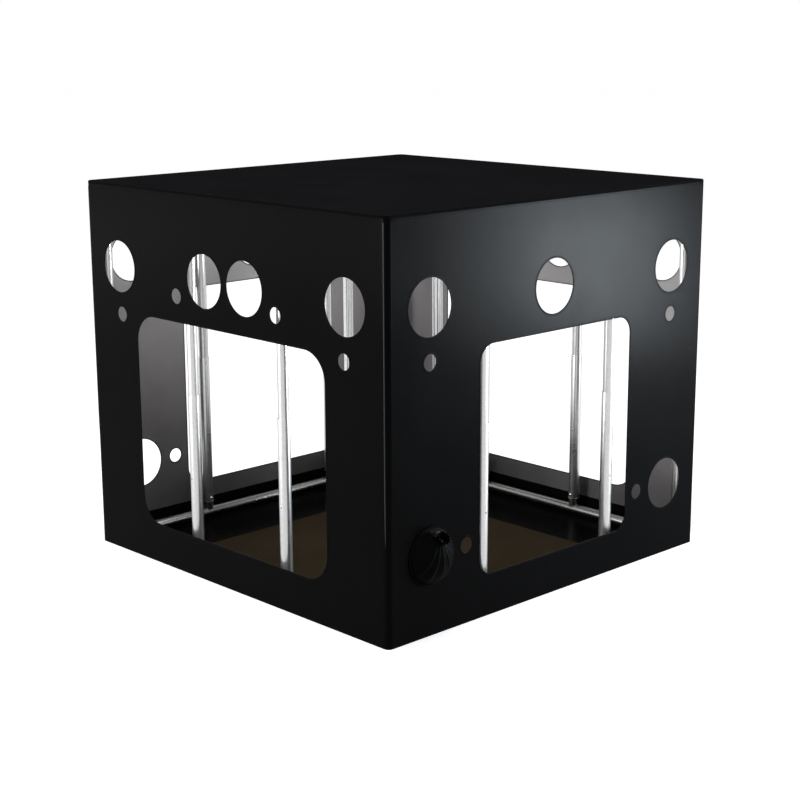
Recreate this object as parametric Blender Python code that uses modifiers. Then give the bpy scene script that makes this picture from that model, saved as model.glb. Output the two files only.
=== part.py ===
"""Indoor grow tent: a black fabric cover with four open doorways and round ports, on a frame of tubes.

Metres, +Z up, origin on the ground under the middle of the tent. The front wall faces -Y and the
right wall faces +X. Walls and rails are modelled facing -Y and then turned to their own side.
"""
import math

import bmesh
import bpy
from mathutils import Matrix, Vector

# Fabric cover
WIDTH = 1.200
HEIGHT = 1.035
FABRIC = 0.0012
EDGE_RADIUS = 0.014
ROOF_EDGE_RADIUS = 0.010
ROOF_SKIRT = 0.012
ROOF_SLACK = 0.004
TUB_HEIGHT = 0.052

# Clearances, and the width of the groove at a sewn seam
GAP = 0.0003
SEAM = 0.0015
OVERRUN = 0.010

# Doorways, with a head that keeps its distance below the roof
FRONT_DOOR_WIDTH = 0.767
FRONT_DOOR_SILL = 0.110
FRONT_DOOR_DROP = 0.345
FRONT_DOOR_RADIUS = 0.075
SIDE_DOOR_WIDTH = 0.575
SIDE_DOOR_SILL = 0.108
SIDE_DOOR_DROP = 0.338
SIDE_DOOR_RADIUS = 0.046

# Ports: a drop is below the roof, an inset is from the tent's corner and an offset is from the middle
DUCT_PORT_DIAMETER = 0.142
CABLE_PORT_DIAMETER = 0.042
DUCT_PORT_DROP = 0.224
CABLE_PORT_DROP = 0.355
INNER_CABLE_PORT_DROP = 0.276
LOW_PORT_HEIGHT = 0.203
FRONT_OUTER_PORT_INSET = 0.143
FRONT_INNER_PORT_OFFSET = 0.082
FRONT_OUTER_CABLE_INSET = 0.148
FRONT_INNER_CABLE_OFFSET = 0.202
SIDE_PORT_INSET = 0.140
SIDE_MIDDLE_PORT_OFFSET = -0.019
SIDE_LOW_PORT_INSET = 0.143
SIDE_LOW_CABLE_INSET = 0.266

# Frame tubes
POLE_DIAMETER = 0.032
POLE_WALL = 0.0016
SLIM_WALL = 0.0012
RAIL_DIAMETER = 0.030
RAIL_WALL = 0.0012
FRAME_INSET = 0.035
FRONT_UPRIGHT_OFFSET = 0.186
SIDE_UPRIGHT_OFFSET = 0.244
CORNER_CHAMFER = 0.004

# Feet, joints and plugs of the uprights
COLLAR_TOP = 0.052
COLLAR_HEIGHT = 0.003
COLLAR_RIM = 0.0018
FOOT_PLUG_LENGTH = 0.058
POLE_JOINT_HEIGHT = 0.492
TELESCOPE_OVERLAP = 0.254
TOP_PLUG_LENGTH = 0.050
RAIL_PLUG_LENGTH = 0.050

# Snap buttons
BUTTON_DIAMETER = 0.008
BUTTON_ABOVE_COLLAR = 0.010
BUTTON_PROUD = 0.0035
BUTTON_DOME = 0.0015
BUTTON_FLANGE_RIM = 0.0015
BUTTON_FLANGE_THICKNESS = 0.0012
BUTTON_FLANGE_DEPTH = 0.0036

# Hanging bars
BAR_DIAMETER = 0.019
BAR_WALL = 0.0012
BAR_OFFSET = 0.300
SADDLE_WALL = 0.002
SADDLE_WIDTH = 0.024

# Floor mat
MAT_WIDTH = 0.774
MAT_SHIFT = 0.045
MAT_THICKNESS = 0.002
MAT_RADIUS = 0.010

# Closed sleeve of the low right port, whose neck points out and up at a slant
SLEEVE_FLANGE = 0.004
SLEEVE_HEM = 0.003
SLEEVE_REACH = 0.030
SLEEVE_RISE = 0.044
SLEEVE_SLANT = math.radians(42)
SLEEVE_NECK_RADIUS = 0.011
SLEEVE_NECK_LENGTH = 0.009
SLEEVE_FRILL_RADIUS = 0.017
SLEEVE_FRILL_LENGTH = 0.011
SLEEVE_PLEATS = 12
SLEEVE_POINTS_PER_PLEAT = 4

# Cord lock on the sleeve's neck
LOCK_DIAMETER = 0.014
LOCK_LENGTH = 0.018
LOCK_BORE_DEPTH = 0.012
PLUNGER_DIAMETER = 0.009
PLUNGER_PROUD = 0.005
PLUNGER_TRAVEL = 0.003
PLUNGER_CHAMFER = 0.001

# Facets
TUBE_SIDES = 12
HOLE_SIDES = 10
DUCT_SIDES = 24
CABLE_SIDES = 12
ARC_STEPS = 3
DOOR_STEPS = 5

# Sizes that follow from the ones above
QUARTER = math.pi / 2
HALF_WIDTH = WIDTH / 2
POLE_RADIUS = POLE_DIAMETER / 2
SLIM_RADIUS = POLE_RADIUS - POLE_WALL - GAP
SLIM_BORE = SLIM_RADIUS - SLIM_WALL
TOP_PLUG_RADIUS = SLIM_BORE - GAP
TOP_PLUG_BORE = TOP_PLUG_RADIUS - SLIM_WALL
RAIL_RADIUS = RAIL_DIAMETER / 2
RAIL_BORE = RAIL_RADIUS - RAIL_WALL
RAIL_PLUG_RADIUS = RAIL_BORE - GAP
RAIL_PLUG_BORE = RAIL_PLUG_RADIUS - RAIL_WALL
FRAME_HALF = HALF_WIDTH - FRAME_INSET
RAIL_HALF = FRAME_HALF - RAIL_RADIUS - GAP
BOTTOM_RAIL_Z = FABRIC + GAP + RAIL_RADIUS
TOP_RAIL_Z = HEIGHT - FABRIC - ROOF_SLACK - RAIL_RADIUS
WALL_TOP = HEIGHT - ROOF_SKIRT - SEAM
POLE_FOOT = COLLAR_TOP + GAP
UPPER_FOOT = POLE_JOINT_HEIGHT - TELESCOPE_OVERLAP
UPPER_TOP = TOP_RAIL_Z - RAIL_RADIUS - GAP
BUTTON_HEIGHT = COLLAR_TOP + BUTTON_ABOVE_COLLAR
HOLE_RADIUS = BUTTON_DIAMETER / 2 + GAP
PORT_RADIUS = DUCT_PORT_DIAMETER / 2
FRONT_DOOR_HEAD = HEIGHT - FRONT_DOOR_DROP
SIDE_DOOR_HEAD = HEIGHT - SIDE_DOOR_DROP
DUCT_PORT_HEIGHT = HEIGHT - DUCT_PORT_DROP
CABLE_PORT_HEIGHT = HEIGHT - CABLE_PORT_DROP
INNER_CABLE_PORT_HEIGHT = HEIGHT - INNER_CABLE_PORT_DROP
FRONT_OUTER_PORT_OFFSET = HALF_WIDTH - FRONT_OUTER_PORT_INSET
FRONT_OUTER_CABLE_OFFSET = HALF_WIDTH - FRONT_OUTER_CABLE_INSET
SIDE_PORT_OFFSET = HALF_WIDTH - SIDE_PORT_INSET
SIDE_LOW_PORT_OFFSET = HALF_WIDTH - SIDE_LOW_PORT_INSET
SIDE_LOW_CABLE_OFFSET = HALF_WIDTH - SIDE_LOW_CABLE_INSET

UP = Vector((0, 0, 1))
ALONG = Vector((1, 0, 0))
INWARD = Vector((0, 1, 0))
CORNERS = (("front_left", 0), ("front_right", QUARTER), ("back_right", 2 * QUARTER), ("back_left", 3 * QUARTER))
SIDES = (("front", 0, FRONT_UPRIGHT_OFFSET), ("right", QUARTER, SIDE_UPRIGHT_OFFSET),
         ("back", 2 * QUARTER, FRONT_UPRIGHT_OFFSET), ("left", 3 * QUARTER, SIDE_UPRIGHT_OFFSET))


def new_collection(name, parent):
    """Add a collection under parent."""
    collection = bpy.data.collections.new(name)
    parent.children.link(collection)
    return collection


def new_material(name, colour, roughness, metallic):
    """A Principled material with one colour."""
    material = bpy.data.materials.new(name)
    material.use_nodes = True
    shader = material.node_tree.nodes["Principled BSDF"]
    shader.inputs["Base Color"].default_value = (*colour, 1.0)
    shader.inputs["Roughness"].default_value = roughness
    shader.inputs["Metallic"].default_value = metallic
    return material


for old in list(bpy.data.objects):
    bpy.data.objects.remove(old, do_unlink=True)
PARTS = new_collection("grow_tent", bpy.context.scene.collection)
CUTTERS = new_collection("cutters", bpy.context.scene.collection)
COVER_BLACK = new_material("cover_black", (0.012, 0.012, 0.014), 0.50, 0.0)
TUB_BLACK = new_material("tub_black", (0.010, 0.010, 0.010), 0.35, 0.0)
MAT_BROWN = new_material("mat_brown", (0.045, 0.034, 0.019), 0.60, 0.0)
TUBE_SILVER = new_material("tube_silver", (0.72, 0.73, 0.74), 0.25, 1.0)
BUTTON_STEEL = new_material("button_steel", (0.80, 0.80, 0.80), 0.18, 1.0)
LOCK_BLACK = new_material("lock_black", (0.015, 0.015, 0.015), 0.40, 0.0)


def shape_mesh(name, shape):
    """Turn a bmesh into a mesh that is smooth but keeps its corners sharp."""
    mesh = bpy.data.meshes.new(name)
    shape.to_mesh(mesh)
    shape.free()
    mesh.shade_smooth()
    mesh.set_sharp_from_angle(angle=math.radians(30))
    return mesh


def add_part(name, shape, material):
    """Link a shape as a named part."""
    mesh = shape_mesh(name, shape)
    mesh.materials.append(material)
    part = bpy.data.objects.new(name, mesh)
    PARTS.objects.link(part)
    return part


def boolean(part, operation, shapes):
    """Join shapes to a part, or take them out of it, with helper objects that the part carries."""
    helpers = new_collection(part.name + "_" + operation.lower(), CUTTERS)
    for shape in shapes:
        helper = bpy.data.objects.new(helpers.name, shape_mesh(helpers.name, shape))
        helpers.objects.link(helper)
        helper.parent = part
        helper.hide_render = True
        helper.display_type = "WIRE"
    modifier = part.modifiers.new(operation.lower(), "BOOLEAN")
    modifier.operation = operation
    modifier.solver = "EXACT"
    modifier.operand_type = "COLLECTION"
    modifier.collection = helpers


def rod(radius, start, end, sides=TUBE_SIDES):
    """A solid cylinder from start to end."""
    axis = end - start
    turn = axis.to_track_quat("Z", "Y").to_matrix().to_4x4()
    shape = bmesh.new()
    bmesh.ops.create_cone(shape, cap_ends=True, segments=sides, radius1=radius, radius2=radius,
                          depth=axis.length, matrix=Matrix.Translation((start + end) / 2) @ turn)
    return shape


def block(size, centre):
    """A solid box."""
    shape = bmesh.new()
    bmesh.ops.create_cube(shape, size=1, matrix=Matrix.Translation(centre) @ Matrix.Diagonal((*size, 1)))
    return shape


def round_edges(shape, edges, radius, steps):
    """Round the given edges."""
    bmesh.ops.bevel(shape, geom=edges, offset=radius, segments=steps, profile=0.5, affect="EDGES")


def edges_along(shape, axis):
    """Edges of a box that run along one axis, 0 for X, 1 for Y and 2 for Z."""
    others = [other for other in range(3) if other != axis]
    return [edge for edge in shape.edges
            if all(edge.verts[0].co[other] == edge.verts[1].co[other] for other in others)]


def add_wall(part, thickness):
    """Give an open surface its thickness, inwards."""
    solidify = part.modifiers.new("thickness", "SOLIDIFY")
    solidify.thickness = thickness
    solidify.offset = -1
    solidify.use_even_offset = True


def turned_part(name, profile, material):
    """A turned piece: pairs of radius and height, down the outer side."""
    shape = bmesh.new()
    points = [shape.verts.new((radius, 0, height)) for radius, height in profile]
    for first, second in zip(points, points[1:]):
        shape.edges.new((first, second))
    part = add_part(name, shape, material)
    screw = part.modifiers.new("turn", "SCREW")
    screw.steps = HOLE_SIDES
    screw.render_steps = HOLE_SIDES
    screw.use_merge_vertices = True
    screw.merge_threshold = 0.00001
    return part


def point_at(part, place, direction):
    """Place a turned piece with its axis along a direction."""
    part.location = place
    part.rotation_mode = "QUATERNION"
    part.rotation_quaternion = direction.to_track_quat("Z", "Y")


def turned(turn, vector):
    """A vector turned about the tent's upright axis."""
    return Matrix.Rotation(turn, 3, "Z") @ vector


def doorway(width, sill, head, radius):
    """A doorway cutter with four rounded corners."""
    shape = block((width, OVERRUN * 2, head - sill), Vector((0, -HALF_WIDTH, (head + sill) / 2)))
    round_edges(shape, edges_along(shape, 1), radius, DOOR_STEPS)
    return shape


def port(across, height, diameter, sides):
    """A round cutter through a wall."""
    centre = Vector((across, -HALF_WIDTH, height))
    return rod(diameter / 2, centre - INWARD * OVERRUN, centre + INWARD * OVERRUN, sides)


def front_openings():
    """Openings of the front and back walls."""
    cuts = [doorway(FRONT_DOOR_WIDTH, FRONT_DOOR_SILL, FRONT_DOOR_HEAD, FRONT_DOOR_RADIUS)]
    for side in (-1, 1):
        cuts.append(port(side * FRONT_OUTER_PORT_OFFSET, DUCT_PORT_HEIGHT, DUCT_PORT_DIAMETER, DUCT_SIDES))
        cuts.append(port(side * FRONT_INNER_PORT_OFFSET, DUCT_PORT_HEIGHT, DUCT_PORT_DIAMETER, DUCT_SIDES))
        cuts.append(port(side * FRONT_OUTER_CABLE_OFFSET, CABLE_PORT_HEIGHT, CABLE_PORT_DIAMETER, CABLE_SIDES))
        cuts.append(port(side * FRONT_INNER_CABLE_OFFSET, INNER_CABLE_PORT_HEIGHT, CABLE_PORT_DIAMETER,
                         CABLE_SIDES))
    return cuts


def side_openings(mirror):
    """Openings of the right wall, or with mirror -1 of the left wall, which faces it port for port."""
    cuts = [doorway(SIDE_DOOR_WIDTH, SIDE_DOOR_SILL, SIDE_DOOR_HEAD, SIDE_DOOR_RADIUS),
            port(mirror * SIDE_MIDDLE_PORT_OFFSET, DUCT_PORT_HEIGHT, DUCT_PORT_DIAMETER, DUCT_SIDES)]
    for side in (-1, 1):
        cuts.append(port(side * SIDE_PORT_OFFSET, DUCT_PORT_HEIGHT, DUCT_PORT_DIAMETER, DUCT_SIDES))
        cuts.append(port(side * SIDE_PORT_OFFSET, CABLE_PORT_HEIGHT, CABLE_PORT_DIAMETER, CABLE_SIDES))
        cuts.append(port(side * SIDE_LOW_PORT_OFFSET, LOW_PORT_HEIGHT, DUCT_PORT_DIAMETER, DUCT_SIDES))
        cuts.append(port(side * SIDE_LOW_CABLE_OFFSET, LOW_PORT_HEIGHT, CABLE_PORT_DIAMETER, CABLE_SIDES))
    return cuts


def wall(name, turn, cuts, wraps):
    """One wall: a flat sheet. The front and back ones wrap round the upright edges of the tent and are
    sewn to the side walls there."""
    centre = HALF_WIDTH - EDGE_RADIUS
    half = [(centre - SEAM, -HALF_WIDTH)]
    if wraps:
        angles = [QUARTER * step / ARC_STEPS / 2 for step in range(ARC_STEPS * 2 + 1)]
        half = [(centre + EDGE_RADIUS * math.sin(angle), -centre - EDGE_RADIUS * math.cos(angle))
                for angle in angles]
    outline = [(-across, away) for across, away in reversed(half)] + half
    shape = bmesh.new()
    foot = [shape.verts.new((across, away, 0)) for across, away in outline]
    for first, second in zip(foot, foot[1:]):
        shape.edges.new((first, second))
    raised = bmesh.ops.extrude_edge_only(shape, edges=shape.edges[:])["geom"]
    top = [item for item in raised if isinstance(item, bmesh.types.BMVert)]
    bmesh.ops.translate(shape, verts=top, vec=UP * WALL_TOP)
    shape.normal_update()
    for face in shape.faces:
        outward = face.calc_center_median()
        outward.z = 0
        if face.normal.dot(outward) < 0:
            face.normal_flip()
    part = add_part(name, shape, COVER_BLACK)
    part.rotation_euler.z = turn
    add_wall(part, FABRIC)
    boolean(part, "DIFFERENCE", cuts)


def open_box(half, foot, top, corner_radius, missing):
    """A square box with rounded upright corners, with its top (missing 1) or bottom (missing -1) left off."""
    shape = block((half * 2, half * 2, top - foot), UP * (top + foot) / 2)
    round_edges(shape, edges_along(shape, 2), corner_radius, ARC_STEPS * 2)
    shape.normal_update()
    lid = max(shape.faces, key=lambda face: face.normal.z * missing)
    bmesh.ops.delete(shape, geom=[lid], context="FACES_ONLY")
    shape.normal_update()
    return shape


def roof():
    """The roof: a flat sheet whose rim rolls over into a short skirt."""
    shape = open_box(HALF_WIDTH, HEIGHT - ROOF_SKIRT, HEIGHT, EDGE_RADIUS, -1)
    top = max(shape.faces, key=lambda face: face.normal.z)
    round_edges(shape, list(top.edges), ROOF_EDGE_RADIUS, ARC_STEPS)
    add_wall(add_part("roof_panel", shape, COVER_BLACK), FABRIC)


def floor_tub():
    """The black tub: a sheet floor with a low upstand inside the walls."""
    inside = FABRIC + GAP
    shape = open_box(HALF_WIDTH - inside, 0, TUB_HEIGHT, EDGE_RADIUS - inside, 1)
    add_wall(add_part("floor_tub", shape, TUB_BLACK), FABRIC)


def floor_mat():
    """The loose mat on the tub's floor, nearer the front right corner."""
    centre = Vector((MAT_SHIFT, -MAT_SHIFT, FABRIC + GAP + MAT_THICKNESS / 2))
    shape = block((MAT_WIDTH, MAT_WIDTH, MAT_THICKNESS), centre)
    round_edges(shape, edges_along(shape, 2), MAT_RADIUS, ARC_STEPS)
    add_part("floor_mat", shape, MAT_BROWN)


def foot_stub(axis, rail_z):
    """The upward plug of a bottom rail or corner, with the collar that the lower pole stands on."""
    collar = axis + UP * (COLLAR_TOP - rail_z)
    return [rod(SLIM_RADIUS, axis + UP * RAIL_WALL, collar + UP * FOOT_PLUG_LENGTH),
            rod(POLE_RADIUS + COLLAR_RIM, collar - UP * COLLAR_HEIGHT, collar)]


def foot_bore(axis, rail_z):
    """The hollow of a foot plug, open at its top."""
    collar = axis + UP * (COLLAR_TOP - rail_z)
    return rod(SLIM_BORE, collar - UP * COLLAR_HEIGHT, collar + UP * (FOOT_PLUG_LENGTH + OVERRUN))


def button_hole(axis):
    """A hole through the inner side of a tube, centred on axis."""
    return rod(HOLE_RADIUS, axis, axis + INWARD * (POLE_RADIUS + OVERRUN), HOLE_SIDES)


def rail(name, turn, height, added, removed):
    """A level tube along one side, with the plugs welded to it."""
    part = add_part(name, rod(RAIL_RADIUS, -ALONG * RAIL_HALF, ALONG * RAIL_HALF), TUBE_SILVER)
    part.location = turned(turn, -INWARD * FRAME_HALF) + UP * height
    part.rotation_euler.z = turn
    reach = ALONG * (RAIL_HALF + OVERRUN)
    boolean(part, "UNION", added)
    boolean(part, "DIFFERENCE", [rod(RAIL_BORE, -reach, reach)] + removed)


def rails():
    """Four bottom rails with foot plugs and four top rails with hanging plugs."""
    for side, turn, offset in SIDES:
        feet = [ALONG * offset * way for way in (-1, 1)]
        stubs = [shape for foot in feet for shape in foot_stub(foot, BOTTOM_RAIL_Z)]
        bores = [foot_bore(foot, BOTTOM_RAIL_Z) for foot in feet]
        holes = [button_hole(foot + UP * (BUTTON_HEIGHT - BOTTOM_RAIL_Z)) for foot in feet]
        rail("bottom_rail_" + side, turn, BOTTOM_RAIL_Z, stubs, bores + holes)
        plug_end = RAIL_RADIUS + TOP_PLUG_LENGTH
        plugs = [rod(TOP_PLUG_RADIUS, foot - UP * RAIL_WALL, foot - UP * plug_end) for foot in feet]
        hollows = [rod(TOP_PLUG_BORE, foot - UP * RAIL_RADIUS, foot - UP * (plug_end + OVERRUN))
                   for foot in feet]
        rail("top_rail_" + side, turn, TOP_RAIL_Z, plugs, hollows)


def corner_fitting(name, turn, height, added, removed):
    """A three-way corner: a block with two level plugs for the rails and one upright."""
    shape = block((RAIL_DIAMETER,) * 3, Vector())
    round_edges(shape, shape.edges[:], CORNER_CHAMFER, 1)
    part = add_part(name, shape, TUBE_SILVER)
    part.location = turned(turn, -(ALONG + INWARD) * FRAME_HALF) + UP * height
    part.rotation_euler.z = turn
    end = RAIL_RADIUS + RAIL_PLUG_LENGTH
    plugs = [rod(RAIL_PLUG_RADIUS, Vector(), way * end) for way in (ALONG, INWARD)]
    hollows = [rod(RAIL_PLUG_BORE, way * RAIL_RADIUS, way * (end + OVERRUN)) for way in (ALONG, INWARD)]
    boolean(part, "UNION", plugs + added)
    boolean(part, "DIFFERENCE", hollows + removed)


def corner_fittings():
    """Four corners at the floor and four under the roof."""
    for corner, turn in CORNERS:
        corner_fitting("bottom_corner_" + corner, turn, BOTTOM_RAIL_Z, foot_stub(Vector(), BOTTOM_RAIL_Z),
                       [foot_bore(Vector(), BOTTOM_RAIL_Z)])
        plug_end = RAIL_RADIUS + TOP_PLUG_LENGTH
        corner_fitting("top_corner_" + corner, turn, TOP_RAIL_Z,
                       [rod(TOP_PLUG_RADIUS, Vector(), -UP * plug_end)],
                       [rod(TOP_PLUG_BORE, -UP * RAIL_RADIUS, -UP * (plug_end + OVERRUN))])


def tube(name, radius, thickness, foot, top, place, turn):
    """An upright tube: an open cylinder with its wall inwards."""
    shape = bmesh.new()
    bmesh.ops.create_cone(shape, cap_ends=False, segments=TUBE_SIDES, radius1=radius, radius2=radius,
                          depth=top - foot, matrix=Matrix.Translation(UP * (top + foot) / 2))
    part = add_part(name, shape, TUBE_SILVER)
    part.location = place
    part.rotation_euler.z = turn
    add_wall(part, thickness)
    return part


def upright(name, place, turn):
    """A thick lower pole on its collar and a slim upper pole that slides down inside it."""
    lower = tube(name + "_pole_lower", POLE_RADIUS, POLE_WALL, POLE_FOOT, POLE_JOINT_HEIGHT, place, turn)
    tube(name + "_pole_upper", SLIM_RADIUS, SLIM_WALL, UPPER_FOOT, UPPER_TOP, place, turn)
    return lower


def snap_button(name, place, direction):
    """A domed button through pole and plug, with a flange inside the plug that holds it in."""
    radius = BUTTON_DIAMETER / 2
    shoulder = POLE_RADIUS + BUTTON_PROUD - BUTTON_DOME
    flange_top = SLIM_RADIUS - BUTTON_FLANGE_DEPTH
    flange_foot = flange_top - BUTTON_FLANGE_THICKNESS
    angles = [step * QUARTER / ARC_STEPS for step in range(ARC_STEPS + 1)]
    dome = [(radius * math.sin(angle), shoulder + BUTTON_DOME * math.cos(angle)) for angle in angles]
    rim = radius + BUTTON_FLANGE_RIM
    part = turned_part(name, dome + [(radius, flange_top), (rim, flange_top), (rim, flange_foot),
                                     (0, flange_foot)], BUTTON_STEEL)
    point_at(part, place, direction)


def uprights():
    """Four corner uprights and two behind each wall, these with snap buttons that face inwards."""
    for corner, turn in CORNERS:
        upright("corner_" + corner, turned(turn, -(ALONG + INWARD) * FRAME_HALF), turn)
    ends = {"front": ("left", "right"), "right": ("front", "back"),
            "back": ("right", "left"), "left": ("back", "front")}
    for side, turn, offset in SIDES:
        for way, end in zip((-1, 1), ends[side]):
            name = side + "_mid_" + end
            place = turned(turn, ALONG * offset * way - INWARD * FRAME_HALF)
            lower = upright(name, place, turn)
            boolean(lower, "DIFFERENCE", [button_hole(UP * BUTTON_HEIGHT)])
            snap_button(name + "_pole_button", place + UP * BUTTON_HEIGHT, turned(turn, INWARD))


def hanging_bars():
    """Two bars from front to back that hook over the top rails and slide along them."""
    bore = RAIL_RADIUS + GAP
    outer = bore + SADDLE_WALL
    leg = FRAME_HALF - outer
    for side, way in (("left", -1), ("right", 1)):
        part = add_part("hanging_bar_" + side, rod(BAR_DIAMETER / 2, -INWARD * (leg + SADDLE_WALL),
                                                   INWARD * (leg + SADDLE_WALL)), TUBE_SILVER)
        part.location = (way * BAR_OFFSET, 0, TOP_RAIL_Z)
        half_width = ALONG * SADDLE_WIDTH / 2
        over = ALONG * OVERRUN
        centres = [INWARD * FRAME_HALF * end for end in (-1, 1)]
        boolean(part, "UNION", [rod(outer, centre - half_width, centre + half_width) for centre in centres])
        reach = SADDLE_WALL / 2 + leg
        cuts = [rod(BAR_DIAMETER / 2 - BAR_WALL, -INWARD * reach, INWARD * reach)]
        for centre in centres:
            cuts.append(rod(bore, centre - half_width - over, centre + half_width + over))
            cuts.append(block((SADDLE_WIDTH + OVERRUN, outer * 2, outer * 2), centre - UP * outer))
        boolean(part, "DIFFERENCE", cuts)


# Reach and rise as shares of the neck's, tilt as a share of its slant, radius as a share of the port's,
# and how deep the pleats are as a share of the radius, from the hem towards the neck
SLEEVE_BODY_SHARES = ((0.37, 0.07, 0.15, 0.93, 0.01), (0.70, 0.28, 0.43, 0.70, 0.03),
                      (0.90, 0.60, 0.76, 0.42, 0.06))
NECK_PLEAT_SHARES = (0.08, 0.08, 0.12)


def neck_place(length):
    """Reach and rise of a point on the neck's axis, a length beyond the neck's foot."""
    return (SLEEVE_REACH + length * math.cos(SLEEVE_SLANT), SLEEVE_RISE + length * math.sin(SLEEVE_SLANT))


def sleeve_rings():
    """Rings along the closed sleeve: reach, rise, tilt, radius and depth of the pleats."""
    rings = [(GAP, 0, 0, PORT_RADIUS + SLEEVE_FLANGE, 0), (SLEEVE_HEM, 0, 0, PORT_RADIUS, 0)]
    for reach, rise, tilt, radius, pleat in SLEEVE_BODY_SHARES:
        rings.append((SLEEVE_REACH * reach, SLEEVE_RISE * rise, SLEEVE_SLANT * tilt, PORT_RADIUS * radius,
                      pleat))
    lengths = (0, SLEEVE_NECK_LENGTH, SLEEVE_NECK_LENGTH + SLEEVE_FRILL_LENGTH)
    radii = (SLEEVE_NECK_RADIUS, SLEEVE_NECK_RADIUS, SLEEVE_FRILL_RADIUS)
    for length, radius, pleat in zip(lengths, radii, NECK_PLEAT_SHARES):
        rings.append((*neck_place(length), SLEEVE_SLANT, radius, pleat))
    return rings


def port_sleeve():
    """The gathered sleeve: pleated rings from the port's rim up to a tied neck and a frill."""
    around = SLEEVE_PLEATS * SLEEVE_POINTS_PER_PLEAT
    shape = bmesh.new()
    rings = []
    for reach, rise, tilt, radius, pleat in sleeve_rings():
        up = Vector((-math.sin(tilt), 0, math.cos(tilt)))
        middle = Vector((HALF_WIDTH + reach, -SIDE_LOW_PORT_OFFSET, LOW_PORT_HEIGHT + rise))
        ring = []
        for step in range(around):
            angle = 4 * QUARTER * step / around
            length = radius * (1 + pleat * math.cos(SLEEVE_PLEATS * angle))
            ring.append(shape.verts.new(middle + up * length * math.cos(angle)
                                        + INWARD * length * math.sin(angle)))
        rings.append(ring)
    for first, second in zip(rings, rings[1:]):
        for step in range(around):
            after = (step + 1) % around
            shape.faces.new((first[step], first[after], second[after], second[step]))
    shape.faces.new(rings[0])
    shape.faces.new(rings[-1])
    bmesh.ops.recalc_face_normals(shape, faces=shape.faces)
    add_part("port_sleeve", shape, COVER_BLACK)


def cord_lock():
    """The cord lock on top of the sleeve's neck, with a plunger that is pressed in to free the cord."""
    barrel = LOCK_DIAMETER / 2
    end = LOCK_LENGTH / 2
    bore = PLUNGER_DIAMETER / 2 + GAP
    bore_foot = end - LOCK_BORE_DEPTH
    reach, rise = neck_place(SLEEVE_NECK_LENGTH / 2)
    away = SLEEVE_NECK_RADIUS * (1 + max(NECK_PLEAT_SHARES)) + barrel
    place = Vector((HALF_WIDTH + reach - away * math.sin(SLEEVE_SLANT), -SIDE_LOW_PORT_OFFSET,
                    LOW_PORT_HEIGHT + rise + away * math.cos(SLEEVE_SLANT)))
    lock = turned_part("sleeve_cord_lock", [(0, bore_foot), (bore, bore_foot), (bore, end), (barrel, end),
                                            (barrel, -end), (0, -end)], LOCK_BLACK)
    plunger = PLUNGER_DIAMETER / 2
    tip = end + PLUNGER_PROUD
    foot = bore_foot + PLUNGER_TRAVEL + GAP
    knob = turned_part("sleeve_lock_button", [(0, tip), (plunger - PLUNGER_CHAMFER, tip),
                                              (plunger, tip - PLUNGER_CHAMFER), (plunger, foot), (0, foot)],
                       LOCK_BLACK)
    point_at(lock, place, INWARD)
    point_at(knob, place, INWARD)


for side_name, side_turn, _ in SIDES:
    if side_name in ("front", "back"):
        wall(side_name + "_wall", side_turn, front_openings(), True)
    else:
        wall(side_name + "_wall", side_turn, side_openings(1 if side_name == "right" else -1), False)
roof()
floor_tub()
floor_mat()
rails()
corner_fittings()
uprights()
hanging_bars()
port_sleeve()
cord_lock()
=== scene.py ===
# %% [markdown]
# # An indoor grow tent, dressed over its CAD frame
#
# The real object is a black fabric cover over a frame of bright steel tubes. The cover has an open
# doorway and round ports in each wall, a grey reflective lining, a black floor tub and a brown mat.
# The CAD model settles every size and place, so this file only makes surfaces and finishes.
#
# Nearly every piece here is a surface worked out with numpy: a formula of two parameters on a grid,
# computed as whole arrays and written into the mesh in one go.

# %% Load the frame
import math

import bmesh
import bpy
import numpy as np
from mathutils import Matrix, Vector


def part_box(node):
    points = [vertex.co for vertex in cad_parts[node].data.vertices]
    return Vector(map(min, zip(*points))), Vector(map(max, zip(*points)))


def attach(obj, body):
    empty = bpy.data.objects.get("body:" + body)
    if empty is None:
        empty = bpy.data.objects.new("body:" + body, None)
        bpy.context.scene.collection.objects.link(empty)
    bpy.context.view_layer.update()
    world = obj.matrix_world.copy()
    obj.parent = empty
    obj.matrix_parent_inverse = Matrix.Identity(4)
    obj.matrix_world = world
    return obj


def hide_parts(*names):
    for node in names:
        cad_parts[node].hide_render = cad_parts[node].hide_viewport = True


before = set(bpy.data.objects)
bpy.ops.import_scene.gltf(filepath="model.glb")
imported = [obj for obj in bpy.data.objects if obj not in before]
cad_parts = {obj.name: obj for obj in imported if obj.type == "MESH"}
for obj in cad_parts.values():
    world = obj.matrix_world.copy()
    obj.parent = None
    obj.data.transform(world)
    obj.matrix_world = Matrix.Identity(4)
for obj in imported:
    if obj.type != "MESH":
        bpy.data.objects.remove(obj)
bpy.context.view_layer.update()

# %% Sizes that the CAD model settled, in metres
HALF, HEIGHT = 0.600, 1.035
FABRIC, GAP, SEAM = 0.0012, 0.0003, 0.0015
EDGE_RADIUS = 0.014
FLAT_HALF = HALF - EDGE_RADIUS
ROOF_SKIRT, ROOF_SLACK = 0.012, 0.004
WALL_TOP = HEIGHT - ROOF_SKIRT - SEAM
FRAME_HALF = 0.565
RAIL_RADIUS, POLE_RADIUS, SLIM_RADIUS = 0.015, 0.016, 0.0141
POLE_WALL, TUBE_WALL = 0.0016, 0.0012
BOTTOM_RAIL_Z = FABRIC + GAP + RAIL_RADIUS
TOP_RAIL_Z = HEIGHT - FABRIC - ROOF_SLACK - RAIL_RADIUS
COLLAR_TOP, BUTTON_Z, RIVET_Z = 0.052, 0.062, 0.263
QUARTER = math.pi / 2
UP = np.array([0.0, 0.0, 1.0])

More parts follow.
